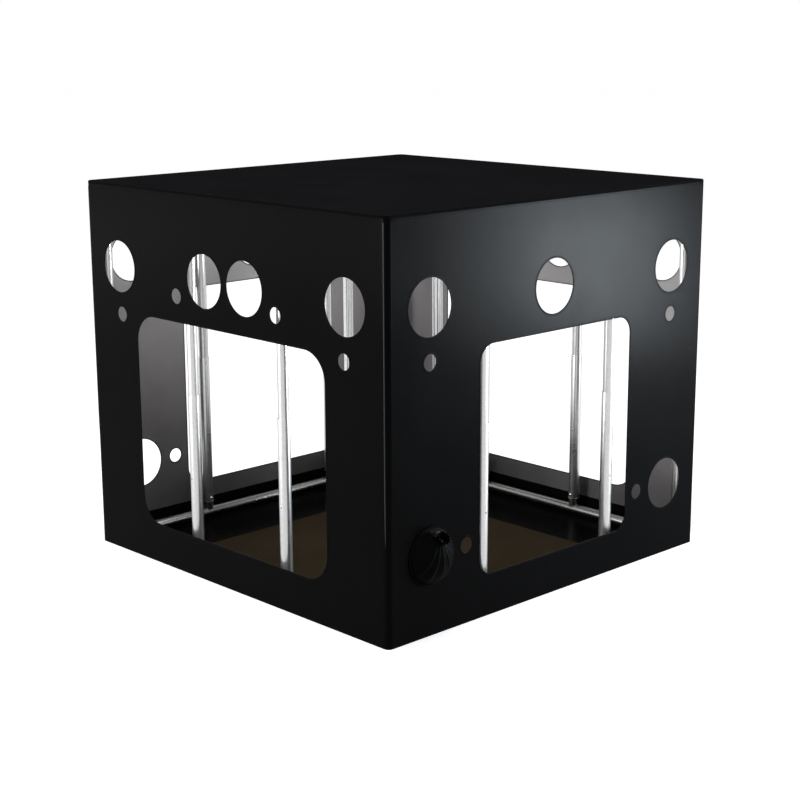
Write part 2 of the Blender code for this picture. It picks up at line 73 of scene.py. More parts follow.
SIDES = (("front", 0), ("right", QUARTER), ("back", 2 * QUARTER), ("left", 3 * QUARTER))
CORNERS = (("front_left", 0), ("front_right", QUARTER), ("back_right", 2 * QUARTER),
           ("back_left", 3 * QUARTER))
UPRIGHT_OFFSET = {"front": 0.186, "right": 0.244, "back": 0.186, "left": 0.244}
UPRIGHT_NAMES = {"front": ("left", "right"), "right": ("front", "back"),
                 "back": ("right", "left"), "left": ("back", "front")}

# %% [markdown]
# ## The view
#
# The camera stands off the front right corner, a little above the tent, and looks slightly down. Its
# place and lens come from matching the corners of the cover and the rims of the ports. Its axes are
# worked out from three angles, so that no target object is needed.

# %% Camera
CAMERA_PLACE = (3.2786, -3.1285, 1.4728)
CAMERA_LENS, SENSOR_WIDTH = 74.19, 36
CAMERA_YAW, CAMERA_PITCH, CAMERA_ROLL = (math.radians(a) for a in (136.19, -13.14, -0.23))

forward = Vector((math.cos(CAMERA_PITCH) * math.cos(CAMERA_YAW),
                  math.cos(CAMERA_PITCH) * math.sin(CAMERA_YAW), math.sin(CAMERA_PITCH)))
level = forward.cross(Vector((0, 0, 1))).normalized()
upward = level.cross(forward)
right_hand = level * math.cos(CAMERA_ROLL) + upward * math.sin(CAMERA_ROLL)
upward = upward * math.cos(CAMERA_ROLL) - level * math.sin(CAMERA_ROLL)

camera_data = bpy.data.cameras.new("camera")
camera_data.lens = CAMERA_LENS
camera_data.sensor_width = SENSOR_WIDTH
camera_data.clip_end = 100
camera = bpy.data.objects.new("camera", camera_data)
camera.matrix_world = Matrix.Translation(CAMERA_PLACE) @ Matrix(
    (right_hand, upward, -forward)).transposed().to_4x4()
bpy.context.scene.collection.objects.link(camera)
bpy.context.scene.camera = camera
print("camera at", CAMERA_PLACE)

# %% [markdown]
# ## From arrays to meshes
#
# Every shape below ends as an array of points and an array of four-sided faces. The helper named
# piece turns them into a mesh. It merges points that fall together, such as the pole of a dome or a
# seam where a surface closes on itself, so no seam is left open.

# %% Mesh helpers
MERGE_DISTANCE = 0.000002
SHARP_ANGLE = math.radians(35)
PIECES = []


def stacked(*arrays):
    """Arrays that fit each other, side by side in the last axis of one array."""
    return np.stack(np.broadcast_arrays(*arrays), -1)


def full_turn(count):
    """The angles of one full turn in even steps."""
    return np.linspace(0, 2 * math.pi, count, endpoint=False)


def unit(vectors):
    """Vectors brought to length one."""
    return vectors / np.linalg.norm(vectors, axis=-1, keepdims=True)


def length_along(path):
    """How far along a path each of its points lies."""
    return np.concatenate([[0], np.cumsum(np.linalg.norm(np.diff(path, axis=0), axis=1))])


def turned(points, turn):
    """Points turned about the tent's upright axis: x' = x cos - y sin, y' = x sin + y cos."""
    points = np.asarray(points, float)
    x, y = points[..., 0], points[..., 1]
    c, s = math.cos(turn), math.sin(turn)
    return np.concatenate([stacked(c * x - s * y, s * x + c * y), points[..., 2:]], -1)


def on_all_sides(points):
    """Points of the front side, and the same turned to the other three sides."""
    return np.concatenate([turned(points, turn) for _, turn in SIDES])


def grid_quads(rows, columns, close_rows=False, close_columns=False):
    """Faces of a grid of rows x columns points: each joins a point, the next in its row, and the two
    after them in the next row. A closed direction wraps round to its start."""
    r = np.arange(rows if close_rows else rows - 1)[:, None]
    c = np.arange(columns if close_columns else columns - 1)[None, :]
    after_r, after_c = (r + 1) % rows, (c + 1) % columns
    return stacked(r * columns + c, r * columns + after_c, after_r * columns + after_c,
                   after_r * columns + c).reshape(-1, 4)


def end_caps(sides, rows, first=0):
    """The polygons that close a swept shape: its first ring, and its last one the other way round."""
    ring = np.arange(sides) + first
    return [ring, ring[::-1] + (rows - 1) * sides]


def joined(parts):
    """Several (points, quads) pairs as one: the faces of each are moved past the points before it."""
    points, quads, count = [], [], 0
    for part_points, part_quads in parts:
        part_points = np.asarray(part_points, float).reshape(-1, 3)
        points.append(part_points)
        quads.append(np.asarray(part_quads) + count)
        count += len(part_points)
    return np.concatenate(points), np.concatenate(quads)


def mesh_from(name, points, quads, uv=None, caps=()):
    """A mesh from arrays. uv gives each point its place on the cloth, and caps are closing polygons."""
    points = np.ascontiguousarray(points, float).reshape(-1, 3)
    loops = np.concatenate([np.ravel(quads), *caps]).astype(np.int32)
    sizes = np.concatenate([np.full(len(quads), 4), [len(cap) for cap in caps]]).astype(np.int32)
    mesh = bpy.data.meshes.new(name)
    mesh.vertices.add(len(points))
    mesh.vertices.foreach_set("co", points.ravel())
    mesh.loops.add(len(loops))
    mesh.loops.foreach_set("vertex_index", loops)
    mesh.polygons.add(len(sizes))
    mesh.polygons.foreach_set("loop_start", np.concatenate([[0], np.cumsum(sizes)[:-1]]).astype(np.int32))
    if uv is not None:
        layer = mesh.uv_layers.new(name="cloth")
        layer.data.foreach_set("uv", np.asarray(uv, float).reshape(-1, 2)[loops].ravel())
    mesh.update(calc_edges=True)
    return mesh


def sharpen_border(mesh):
    """Mark the edges that only one face uses as sharp, so that a thickened sheet stays flat to its rim."""
    edge_of_loop = np.empty(len(mesh.loops), np.int32)
    mesh.loops.foreach_get("edge_index", edge_of_loop)
    sharp = np.empty(len(mesh.edges), bool)
    mesh.edges.foreach_get("use_edge_sharp", sharp)
    uses = np.bincount(edge_of_loop, minlength=len(sharp))
    mesh.edges.foreach_set("use_edge_sharp", sharp | (uses == 1))


def placed(name, data):
    """A new object of the scene."""
    obj = bpy.data.objects.new(name, data)
    bpy.context.scene.collection.objects.link(obj)
    return obj


def piece(name, shape, materials, body="root", replaces=(), uv=None, caps=(), closed=True,
          merge=True, material_of_face=None):
    """Link a shape, (points, quads), as a piece that rides on a body. A closed one gets its faces
    turned outwards."""
    mesh = mesh_from(name, *shape, uv, caps)
    if material_of_face is not None:
        mesh.polygons.foreach_set("material_index", material_of_face.astype(np.int32))
    cleaned = bmesh.new()
    cleaned.from_mesh(mesh)
    if merge:
        bmesh.ops.remove_doubles(cleaned, verts=cleaned.verts, dist=MERGE_DISTANCE)
    if closed:
        bmesh.ops.recalc_face_normals(cleaned, faces=cleaned.faces)
    cleaned.to_mesh(mesh)
    cleaned.free()
    mesh.shade_smooth()
    mesh.set_sharp_from_angle(angle=SHARP_ANGLE)
    if not closed:
        sharpen_border(mesh)
    for material in materials:
        mesh.materials.append(material)
    obj = placed(name, mesh)
    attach(obj, body)
    if replaces:
        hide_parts(*replaces)
    PIECES.append((name, len(mesh.polygons)))
    return obj


def solidified(obj, thickness, lining=False):
    """Give a sheet its thickness, inwards, with its second material on the inner side if it is lined."""
    modifier = obj.modifiers.new("thickness", "SOLIDIFY")
    modifier.thickness = thickness
    modifier.offset = -1
    modifier.use_even_offset = True
    if lining:
        modifier.material_offset = 1
        modifier.material_offset_rim = 0
    return obj


# %% [markdown]
# ## Turned and swept shapes
#
# Tubes, rivets and buttons are turned: a profile of radius and height goes round an axis. Its corners
# are rounded first, because a real edge always catches a thin line of light. Bindings, cords and weld
# beads are swept: a small section goes along a path.

# %% Profiles
def rounded_profile(corners, radius, steps=4):
    """A closed profile with its corners rounded. Each corner becomes a quadratic curve from radius
    before it to radius after it: (1-t)^2 a + 2 t (1-t) corner + t^2 b."""
    corners = np.asarray(corners, float)
    before, after = np.roll(corners, 1, 0) - corners, np.roll(corners, -1, 0) - corners
    reach_before, reach_after = (np.linalg.norm(d, axis=1, keepdims=True) for d in (before, after))
    cut = np.minimum(radius, np.minimum(reach_before, reach_after) / 2.01)
    a, b = corners + before / reach_before * cut, corners + after / reach_after * cut
    t = np.linspace(0, 1, steps + 1)[None, :, None]
    curve = (1 - t) ** 2 * a[:, None] + 2 * t * (1 - t) * corners[:, None] + t ** 2 * b[:, None]
    return curve.reshape(-1, 2)


def rounded_box(low_a, high_a, low_b, high_b, radius, steps=4):
    """A rectangle between two lows and two highs, with its corners rounded."""
    corners = [(low_a, low_b), (high_a, low_b), (high_a, high_b), (low_a, high_b)]
    return rounded_profile(corners, radius, steps)


def strip_section(half_wide, half_thick, radius, steps=3):
    """The rounded section of a flat strip about its middle."""
    return rounded_box(-half_wide, half_wide, -half_thick, half_thick, radius, steps)


def round_section(radius, sides=10):
    """A circle of the given radius, as a section to sweep."""
    angle = full_turn(sides)
    return radius * stacked(np.cos(angle), np.sin(angle))


def dome_profile(radius, foot, shoulder, rise, steps=8):
    """Shaft up to the shoulder, then a quarter ellipse to the pole: r cos t, shoulder + rise sin t."""
    t = np.linspace(0, QUARTER, steps + 1)
    dome = stacked(radius * np.cos(t), shoulder + rise * np.sin(t))
    return np.concatenate([[(0, foot), (radius, foot)], dome])


# %% Turning and sweeping
def axes_of(direction):
    """Two unit vectors square to a direction and to each other, and the direction itself."""
    direction = unit(np.asarray(direction, float))
    helper = UP if abs(direction[2]) < 0.9 else np.array([1.0, 0.0, 0.0])
    across = unit(np.cross(helper, direction))
    return across, np.cross(direction, across), direction


def revolved(profile, place, direction, sides=64, closed=True):
    """A profile carried round an axis: place + r (cos a across + sin a beside) + h direction."""
    across, beside, along = axes_of(direction)
    profile = np.asarray(profile, float)
    angle = full_turn(sides)
    ring = np.cos(angle)[None, :, None] * across + np.sin(angle)[None, :, None] * beside
    points = np.asarray(place) + profile[:, 0, None, None] * ring + profile[:, 1, None, None] * along
    return points, grid_quads(len(profile), sides, close_rows=closed, close_columns=True)


def tube_shape(outer, wall, start, end, rim=0.0004, sides=64):
    """An open tube from start to end: a rounded rectangle of the wall, turned about the tube's axis."""
    start, end = np.asarray(start, float), np.asarray(end, float)
    length = np.linalg.norm(end - start)
    return revolved(rounded_box(outer - wall, outer, 0, length, rim), start, end - start, sides)


def swept(path, section, normals, closed=False):
    """A section carried along a path: path + s0 side + s1 normal, where side is square to both the
    path's direction and the normal."""
    path, section = np.asarray(path, float), np.asarray(section, float)
    normals = np.broadcast_to(np.asarray(normals, float), path.shape)
    if closed:
        ahead = unit(np.roll(path, -1, 0) - np.roll(path, 1, 0))
    else:
        ahead = unit(np.gradient(path, axis=0))
    side = unit(np.cross(ahead, normals))
    up = np.cross(side, ahead)
    across, out = section[None, :, :1], section[None, :, 1:]
    points = path[:, None] + across * side[:, None] + out * up[:, None]
    return points, grid_quads(len(path), len(section), close_rows=closed, close_columns=True)


def trim(name, path, section, normals, material, map_step, map_width):
    """A strip of tape or cord round a closed path, as a piece. On its map, u grows by a step at each
    point of the path, and v runs round the section."""
    cloth = stacked(np.arange(len(path))[:, None] * map_step, np.linspace(0, map_width, len(section)))
    return piece(name, swept(path, section, normals, closed=True), [material], uv=cloth)


# %% Stitches
STITCH_LENGTH, STITCH_RADIUS, STITCH_PITCH = 0.0034, 0.00045, 0.0052
STITCH_FLATNESS = 0.7
GRAIN_RINGS, GRAIN_SIDES = 5, 6
GRAIN_FACES = (GRAIN_RINGS - 1) * GRAIN_SIDES


def even_steps(path, pitch):
    """Points about a pitch apart round a closed path, with their directions, by its length."""
    path = np.asarray(path, float)
    path = np.concatenate([path, path[:1]])
    length = length_along(path)
    count = max(3, int(round(length[-1] / pitch)))
    wanted = (np.arange(count) + 0.5) * length[-1] / count
    places, ahead = (np.stack([np.interp(at, length, path[:, k]) for k in range(path.shape[1])], -1)
                     for at in (wanted, wanted + pitch / 10))
    return places, ahead - places


def stitch_row(places, directions, normals):
    """One small grain of thread per place: rings of a stretched ball, laid along the seam."""
    normals = np.broadcast_to(normals, places.shape)
    turn = np.linspace(0, math.pi, GRAIN_RINGS)[:, None]
    angle = full_turn(GRAIN_SIDES)[None, :]
    grain = stacked(-np.cos(turn) * STITCH_LENGTH / 2, np.sin(turn) * np.cos(angle) * STITCH_RADIUS,
                    np.sin(turn) * np.sin(angle) * STITCH_RADIUS * STITCH_FLATNESS).reshape(-1, 3)
    ahead = unit(directions)
    side = np.cross(normals, ahead)
    points = (places[:, None] + grain[None, :, :1] * ahead[:, None] + grain[None, :, 1:2] * side[:, None]
              + grain[None, :, 2:] * normals[:, None])
    steps = (np.arange(len(places)) * GRAIN_RINGS * GRAIN_SIDES)[:, None, None]
    quads = grid_quads(GRAIN_RINGS, GRAIN_SIDES, close_columns=True)[None] + steps
    return points.reshape(-1, 3), quads.reshape(-1, 4)


# %% [markdown]
# ## Finishes
#
# The real materials are few: coated black cloth, a grey reflective lining, ribbed binding tape, soft
# black vinyl, a brown woven mat, bright drawn steel and matt plastic. Each one gets its own small
# structure from nodes, at its true scale. Weaves, ribs and the lining's lattice read the piece's own
# map in metres, so that they follow the surface; all the rest reads object coordinates.

# %% Nodes
def finish(name, colour, roughness, metallic=0.0, specular=0.5):
    """A material with a Principled shader and its plain values."""
    mat = bpy.data.materials.new(name)
    mat.use_nodes = True
    shader = mat.node_tree.nodes["Principled BSDF"]
    shader.inputs["Base Color"].default_value = (*colour, 1)
    shader.inputs["Roughness"].default_value = roughness
    shader.inputs["Metallic"].default_value = metallic
    shader.inputs["Specular IOR Level"].default_value = specular
    return mat, mat.node_tree, shader


def node(tree, kind, inputs=(), **settings):
    """A node with its settings. An input is a value, or another node's output to link from."""
    made = tree.nodes.new(kind)
    for key, value in settings.items():
        setattr(made, key, value)
    for key, value in dict(inputs).items():
        if isinstance(value, bpy.types.NodeSocket):
            tree.links.new(value, made.inputs[key])
        else:
            made.inputs[key].default_value = value
    return made


def calc(tree, operation, first, second=0.0, third=0.0):
    """One step of arithmetic."""
    return node(tree, "ShaderNodeMath", {0: first, 1: second, 2: third}, operation=operation).outputs[0]


def object_place(tree):
    """Object coordinates, which are the tent's own metres."""
    return node(tree, "ShaderNodeTexCoord").outputs["Object"]


def object_height(tree):
    """Height above the floor."""
    return node(tree, "ShaderNodeSeparateXYZ", {0: object_place(tree)}).outputs["Z"]


def cloth_map(tree, pitch):
    """The cloth's own map in threads: metres over the pitch."""
    where = node(tree, "ShaderNodeUVMap", uv_map="cloth").outputs["UV"]
    scaled = node(tree, "ShaderNodeVectorMath", {0: where, "Scale": 1 / pitch}, operation="SCALE").outputs[0]
    split = node(tree, "ShaderNodeSeparateXYZ", {0: scaled})
    return split.outputs["X"], split.outputs["Y"]


def half_wave(tree, value):
    """sin(pi value)."""
    return calc(tree, "SINE", calc(tree, "MULTIPLY", value, math.pi))


def plain_weave(tree, pitch):
    """Height of a plain weave. Each thread is round across itself, |sin(pi u)|, and dives under every
    second thread that it meets, 0.5 + 0.5 cos(pi v + pi floor(u)). The higher thread shows."""
    u, v = cloth_map(tree, pitch)

    def threads(across, along, phase):
        round_top = calc(tree, "ABSOLUTE", half_wave(tree, across))
        turn = calc(tree, "ADD", along, calc(tree, "FLOOR", across))
        wave = calc(tree, "COSINE", calc(tree, "MULTIPLY_ADD", turn, math.pi, phase))
        return calc(tree, "MULTIPLY", round_top, calc(tree, "MULTIPLY_ADD", wave, 0.5, 0.5))

    return calc(tree, "MAXIMUM", threads(u, v, 0.0), threads(v, u, math.pi))


def noise(tree, scale, detail=3.0, stretch=(1, 1, 1)):
    """Soft noise on object coordinates, stretched along its axes."""
    placed = node(tree, "ShaderNodeMapping", {"Vector": object_place(tree), "Scale": stretch}).outputs[0]
    cloud = node(tree, "ShaderNodeTexNoise", {"Vector": placed, "Scale": scale, "Detail": detail})
    return cloud.outputs["Fac"]


def twist(tree, scale):
    """Slanting strands of a twisted cord or thread."""
    return node(tree, "ShaderNodeTexWave", {"Vector": object_place(tree), "Scale": scale},
                wave_type="BANDS", bands_direction="DIAGONAL").outputs["Fac"]


def pebbles(tree, scale):
    """Small pebbles, as on moulded plastic and embossed vinyl."""
    cells = node(tree, "ShaderNodeTexVoronoi", {"Vector": object_place(tree), "Scale": scale})
    return cells.outputs["Distance"]


def between(tree, value, low, high, low_at=0.0, high_at=1.0):
    """A value carried from one range to another."""
    return node(tree, "ShaderNodeMapRange", {"Value": value, "From Min": low_at, "From Max": high_at,
                                             "To Min": low, "To Max": high}).outputs["Result"]


def two_colours(tree, value, first, second):
    """A colour between two, by a value from 0 to 1. Each is a plain colour or another node's output."""
    first, second = (c if isinstance(c, bpy.types.NodeSocket) else (*c, 1) for c in (first, second))
    return node(tree, "ShaderNodeMix", {0: value, 6: first, 7: second}, data_type="RGBA").outputs[2]


def dress(tree, shader, colour=None, roughness=None, bumps=()):
    """Link a finish's structure. colour is (value, first, second), and roughness is (value, low, high)
    with the value's own range after it. Each bump is (height, distance, strength), the finest first."""
    if colour:
        tree.links.new(two_colours(tree, *colour), shader.inputs["Base Color"])
    if roughness:
        tree.links.new(between(tree, *roughness), shader.inputs["Roughness"])
    normal = None
    for height, distance, strength in reversed(bumps):
        inputs = {"Height": height, "Distance": distance, "Strength": strength}
        if normal is not None:
            inputs["Normal"] = normal
        normal = node(tree, "ShaderNodeBump", inputs).outputs["Normal"]
    tree.links.new(normal, shader.inputs["Normal"])


# %% Cloth, lining, tape and thread
NOISE_RANGE = (0.3, 0.7)


def shell_cloth(name, shade, specular, roughness):
    """Coated black cloth: a fine plain weave, with faint clouds in its colour and its gloss."""
    tint = shade * np.array([1, 1, 1.1])
    mat, tree, shader = finish(name, tint, roughness, specular=specular)
    cloud = noise(tree, 5.0, 4.0)
    dress(tree, shader, (cloud, tint * 0.8, tint * 1.2),
          (cloud, roughness * 0.92, roughness * 1.08, *NOISE_RANGE),
          [(plain_weave(tree, 0.0011), 0.00008, 0.15), (noise(tree, 3.2, 2.0, (1, 1, 0.45)), 0.002, 0.10)])
    return mat


def ribbed_tape(name, dark, light, roughness, specular, pitch, rib_height):
    """Woven tape with ribs across it, |sin(pi u)|, which are smoother on top, with painted shade that darkens
    the grooves between them.
    """
    mat, tree, shader = finish(name, light, roughness[1], specular=specular)
    ribs = calc(tree, "ABSOLUTE", half_wave(tree, cloth_map(tree, pitch)[0]))
    # painted shade: the colour runs from the dark of the grooves to the light of the rib tops, following the
    # rib height
    dress(tree, shader, (ribs, dark, light), (ribs, *roughness), [(ribs, rib_height, 0.6)])
    return mat


def reflective_lining():
    """Silvered film with a pressed lattice, |sin(pi (u + v)) sin(pi (u - v))|, darkened towards the floor by
    painted shade.
    """
    mat, tree, shader = finish("reflective_lining", (0.37, 0.358, 0.364), 0.36, metallic=0.30, specular=0.2)
    u, v = cloth_map(tree, 0.009)
    lattice = calc(tree, "MULTIPLY", half_wave(tree, calc(tree, "ADD", u, v)),
                   half_wave(tree, calc(tree, "SUBTRACT", u, v)))
    cloud = noise(tree, 9.0, 5.0)
    # painted shade: below 0.60 m the lining's colour falls to under a third by 0.08 m, for the dimmer light
    # near the floor
    shaded_low_lining = two_colours(tree, cloud, (0.10, 0.096, 0.098), (0.14, 0.134, 0.137))
    upper_lining = two_colours(tree, cloud, (0.375, 0.362, 0.368), (0.46, 0.444, 0.452))
    painted_shade_fade = between(tree, object_height(tree), 0.0, 1.0, 0.08, 0.60)
    dress(tree, shader, (painted_shade_fade, shaded_low_lining, upper_lining), (cloud, 0.31, 0.42, *NOISE_RANGE),
          [(calc(tree, "ABSOLUTE", lattice), 0.0006, 0.35), (noise(tree, 14.0, 3.0), 0.004, 0.25)])
    return mat


def edge_cord():
    """A twisted glossy cord, duller towards the foot."""
    mat, tree, shader = finish("edge_cord", (0.020, 0.020, 0.021), 0.42, specular=0.35)
    strands = twist(tree, 420.0)
    # painted shade: the strands' colour follows the twist's height, darker in its hollows and lighter on its
    # crests
    dress(tree, shader, (strands, (0.014, 0.014, 0.015), (0.028, 0.028, 0.030)),
          (object_height(tree), 0.85, 0.40, 0.10, 0.50), [(strands, 0.0001, 0.3)])
    return mat


def sewing_thread():
    """Twisted black thread."""
    mat, tree, shader = finish("sewing_thread", (0.008, 0.008, 0.009), 0.50, specular=0.02)
    strands = twist(tree, 900.0)
    # painted shade: the strands' colour follows the twist's height, darker in its hollows and lighter on its
    # crests
    dress(tree, shader, (strands, (0.005, 0.005, 0.0055), (0.012, 0.012, 0.013)),
          bumps=[(strands, 0.0001, 0.5)])
    return mat


def sleeve_cloth():
    """Thin soft black cloth, finely woven and a little crumpled."""
    mat, tree, shader = finish("sleeve_cloth", (0.002, 0.002, 0.0022), 0.46, specular=0.02)
    cloud = noise(tree, 30.0, 4.0)
    dress(tree, shader, (cloud, (0.0015, 0.0015, 0.0017), (0.0030, 0.0030, 0.0033)),
          (cloud, 0.40, 0.52, *NOISE_RANGE),
          [(plain_weave(tree, 0.0007), 0.0001, 0.4), (noise(tree, 60.0, 3.0), 0.0015, 0.35)])
    return mat


# each tape's two colours: the painted shade of its grooves, then its rib tops
BLACK_TAPE = (0.0015, 0.0015, 0.0017), (0.0045, 0.0045, 0.005)
BROWN_TAPE = (0.022, 0.017, 0.010), (0.060, 0.046, 0.028)
SHELL = shell_cloth("cover_shell", 0.0030, 0.017, 0.26)
# painted light: the roof is the cover's own cloth, given three times its shade and no gloss, so its lighter
# colour stands in for the sheen that light gives the real top
LIGHTENED_ROOF_SHELL = shell_cloth("roof_shell_painted_lighter", 0.0090, 0.0, 0.60)
LINING = reflective_lining()
TAPE = ribbed_tape("binding_tape", *BLACK_TAPE, (0.70, 0.58), 0.01, 0.0009, 0.00015)
GLOSSY_TAPE = ribbed_tape("opening_tape", *BLACK_TAPE, (0.34, 0.26), 0.016, 0.0009, 0.00004)
MAT_TAPE = ribbed_tape("mat_binding", *BROWN_TAPE, (0.7, 0.7), 0.0, 0.0012, 0.0002)
EDGE_CORD = edge_cord()
THREAD = sewing_thread()
SLEEVE_CLOTH = sleeve_cloth()


# %% Vinyl and mat
def tub_vinyl():
    """Soft black vinyl with an embossed grain."""
    mat, tree, shader = finish("tub_vinyl", (0.003, 0.003, 0.003), 0.20, specular=0.002)
    cloud = noise(tree, 7.0, 4.0)
    dress(tree, shader, (cloud, (0.002, 0.002, 0.002), (0.004, 0.004, 0.004)),
          (cloud, 0.16, 0.30, *NOISE_RANGE),
          [(pebbles(tree, 650.0), 0.00010, 0.25), (noise(tree, 9.0, 2.0), 0.003, 0.15)])
    return mat


def mat_cloth():
    """Coarse brown weave with a random tone, and painted shade that darkens the hollows between its raised
    threads.
    """
    mat, tree, shader = finish("mat_cloth", (0.036, 0.026, 0.015), 0.80, specular=0.0)
    weave = plain_weave(tree, 0.0032)
    cloud = calc(tree, "MULTIPLY", noise(tree, 6.0, 6.0), 0.4)
    # painted shade: the weave's height lightens the raised threads and darkens the hollows, on top of a
    # random tone from the noise
    threads = calc(tree, "MULTIPLY_ADD", weave, 0.6, cloud)
    dress(tree, shader, (threads, (0.027, 0.020, 0.012), (0.076, 0.057, 0.036)), (weave, 0.85, 0.62),
          [(weave, 0.0006, 0.7)])
    return mat


VINYL, MAT = tub_vinyl(), mat_cloth()

# %% Steel and plastic
# painted shade: the rails and hanging bars are the uprights' own steel, given 0.28 instead of 0.80 for the
# darker look that light gives them
SHADED_RAIL_COLOUR = (0.28, 0.28, 0.27)
ALONG_X, ALONG_Y, ALONG_Z, EVERY_WAY = (0.01, 1, 1), (1, 0.01, 1), (1, 1, 0.01), (1, 1, 1)


def steel(name, colour, roughness, drawn):
    """Drawn steel: fine lines along the tube, faint clouds of dullness, and a few handling marks."""
    mat, tree, shader = finish(name, colour, roughness, metallic=1.0)
    lines = noise(tree, 900.0, 2.0, drawn)
    cloud = noise(tree, 14.0, 5.0)
    marks = between(tree, noise(tree, 130.0, 6.0), 0.0, 1.0, 0.45, 0.75)
    dullness = calc(tree, "MULTIPLY_ADD", cloud, 0.75, calc(tree, "MULTIPLY", lines, 0.25))
    dress(tree, shader, (marks, colour, [c * 0.90 for c in colour]),
          (dullness, roughness * 0.88, roughness * 1.15, *NOISE_RANGE), [(lines, 0.00003, 0.10)])
    return mat


def lock_plastic():
    """Matt moulded plastic with a fine pebbled skin."""
    mat, tree, shader = finish("lock_plastic", (0.012, 0.012, 0.013), 0.42)
    dress(tree, shader, None, (noise(tree, 200.0), 0.34, 0.52, *NOISE_RANGE),
          [(pebbles(tree, 1400.0), 0.00008, 0.4)])
    return mat


STEEL_UP = steel("drawn_steel_upright", (0.80, 0.80, 0.80), 0.30, ALONG_Z)
STEEL_X = steel("drawn_steel_along_x", SHADED_RAIL_COLOUR, 0.28, ALONG_X)
STEEL_Y = steel("drawn_steel_along_y", SHADED_RAIL_COLOUR, 0.28, ALONG_Y)
CAST = steel("cast_corner", (0.70, 0.70, 0.71), 0.34, EVERY_WAY)
FILM = steel("lining_film", (0.88, 0.88, 0.89), 0.20, ALONG_Z)
BUTTON = steel("polished_button", (0.86, 0.86, 0.86), 0.12, EVERY_WAY)
RIVET = steel("rivet_steel", (0.45, 0.45, 0.46), 0.24, EVERY_WAY)
PLASTIC = lock_plastic()
print(len(bpy.data.materials), "materials")

# %% [markdown]
# ## Where a point of a wall is
#
# The front and back walls roll round the upright edges of the tent and are sewn to the side walls
# there. A point on a wall is given by how far along it lies, u, how high, v, and how far out of the
# cloth, n. Pulled fabric is never quite flat, so a slow wave of under a millimetre moves it.

# %% Walls: the map from cloth to tent
WRAPPED_HALF = FLAT_HALF + EDGE_RADIUS * QUARTER
SEWN_HALF = FLAT_HALF - SEAM
CLOTH_HALF = {"front": WRAPPED_HALF, "right": SEWN_HALF, "back": WRAPPED_HALF, "left": SEWN_HALF}
WAVE_DEPTH = 0.0009


def slack(u, v, turn):
    """How far the cloth stands off its plane: three long waves, faded to nothing at the wall's edges,
    sin(pi v / top)^0.6 (1 - (u/half)^4) * sum of waves."""
    across, up = np.clip(np.abs(u) / FLAT_HALF, 0, 1), np.clip(v / WALL_TOP, 0, 1)
    fade = np.sin(math.pi * up) ** 0.6 * (1 - across ** 4)
    waves = (0.45 * np.sin(7.1 * u + 1.3 * turn + 2.0 * v) + 0.35 * np.sin(4.3 * v - 5.2 * u + 2.1 * turn)
             + 0.20 * np.sin(15.0 * u + 3.7 * turn) * np.sin(9.0 * v))
    return -WAVE_DEPTH * fade * (1 + waves) / 2


def on_wall(u, v, n, turn):
    """A point u along a wall, v up it and n out of it. Past the flat part it turns about the upright
    edge's centre, x = flat + (R + n) sin a and y = -(flat + (R + n) cos a)."""
    past = np.clip((np.abs(u) - FLAT_HALF) / EDGE_RADIUS, 0, None)
    reach = EDGE_RADIUS + n + slack(u, v, turn)
    x = np.clip(u, -FLAT_HALF, FLAT_HALF) + np.sign(u) * reach * np.sin(past)
    return turned(stacked(x, -(FLAT_HALF + reach * np.cos(past)), v), turn)


# %% Walls: the openings
FRONT_DOOR = (0.0, 0.400, 0.3835, 0.290, 0.075)
SIDE_DOOR = (0.0, 0.4025, 0.2875, 0.2945, 0.046)
DUCT, CABLE = 0.071, 0.021
DUCT_Z, CABLE_Z, LOW_Z = 0.811, 0.680, 0.203
FRONT_PORTS = ((0.457, DUCT_Z, DUCT), (0.082, DUCT_Z, DUCT), (0.452, CABLE_Z, CABLE), (0.202, 0.759, CABLE))
LOW_DUCT_OUT = 0.457
SIDE_PORTS = ((0.460, DUCT_Z, DUCT), (0.460, CABLE_Z, CABLE), (LOW_DUCT_OUT, LOW_Z, DUCT),
              (0.334, LOW_Z, CABLE))
MIDDLE_DUCT_SHIFT = {"right": -0.019, "left": 0.019}


def openings_of(side):
    """Openings of a wall: centre, half width, half height and corner radius. A round port's radius is
    its whole half size. The left wall faces the right one port for port."""
    door, ports = (FRONT_DOOR, FRONT_PORTS) if side in ("front", "back") else (SIDE_DOOR, SIDE_PORTS)
    ports = [(s * u, v, radius) for s in (-1, 1) for u, v, radius in ports]
    if side in MIDDLE_DUCT_SHIFT:
        ports.insert(0, (MIDDLE_DUCT_SHIFT[side], DUCT_Z, DUCT))
    return [door] + [(u, v, radius, radius, radius) for u, v, radius in ports]


def rim_points(opening, around, offset):
    """Points of an opening's rim, moved out by offset. A point is pulled to the rectangle inside the
    corner radii, and the rim lies the radius away from there, towards the point."""
    cu, cv, half_u, half_v, radius = opening
    d = around - np.array([cu, cv])
    core = np.clip(d, [-(half_u - radius), -(half_v - radius)], [half_u - radius, half_v - radius])
    way = d - core
    way = way / np.maximum(np.linalg.norm(way, axis=-1, keepdims=True), 1e-9)
    return np.array([cu, cv]) + core + way * (radius + offset)


def rim_path(opening, offset, pitch=0.004):
    """An even closed path round an opening, counter-clockwise, offset from its rim."""
    cu, cv, half_u, half_v, radius = opening
    angle = full_turn(2000)
    ray = stacked(np.cos(angle), np.sin(angle))
    square = ray / np.max(np.abs(ray) / [half_u, half_v], axis=1, keepdims=True) * 1.5
    path = rim_points(opening, square + [cu, cv], offset)
    return even_steps(path, min(pitch, radius / 10))[0]


# %% [markdown]
# ## A sheet with true round holes
#
# The holes could be cut with a Boolean, but that leaves long thin faces that spoil the shading of a
# cloth. Here the sheet is a grid whose lines pass exactly along a small square round each opening. The
# square is left out and filled with rings of faces that run from the square to the rim.

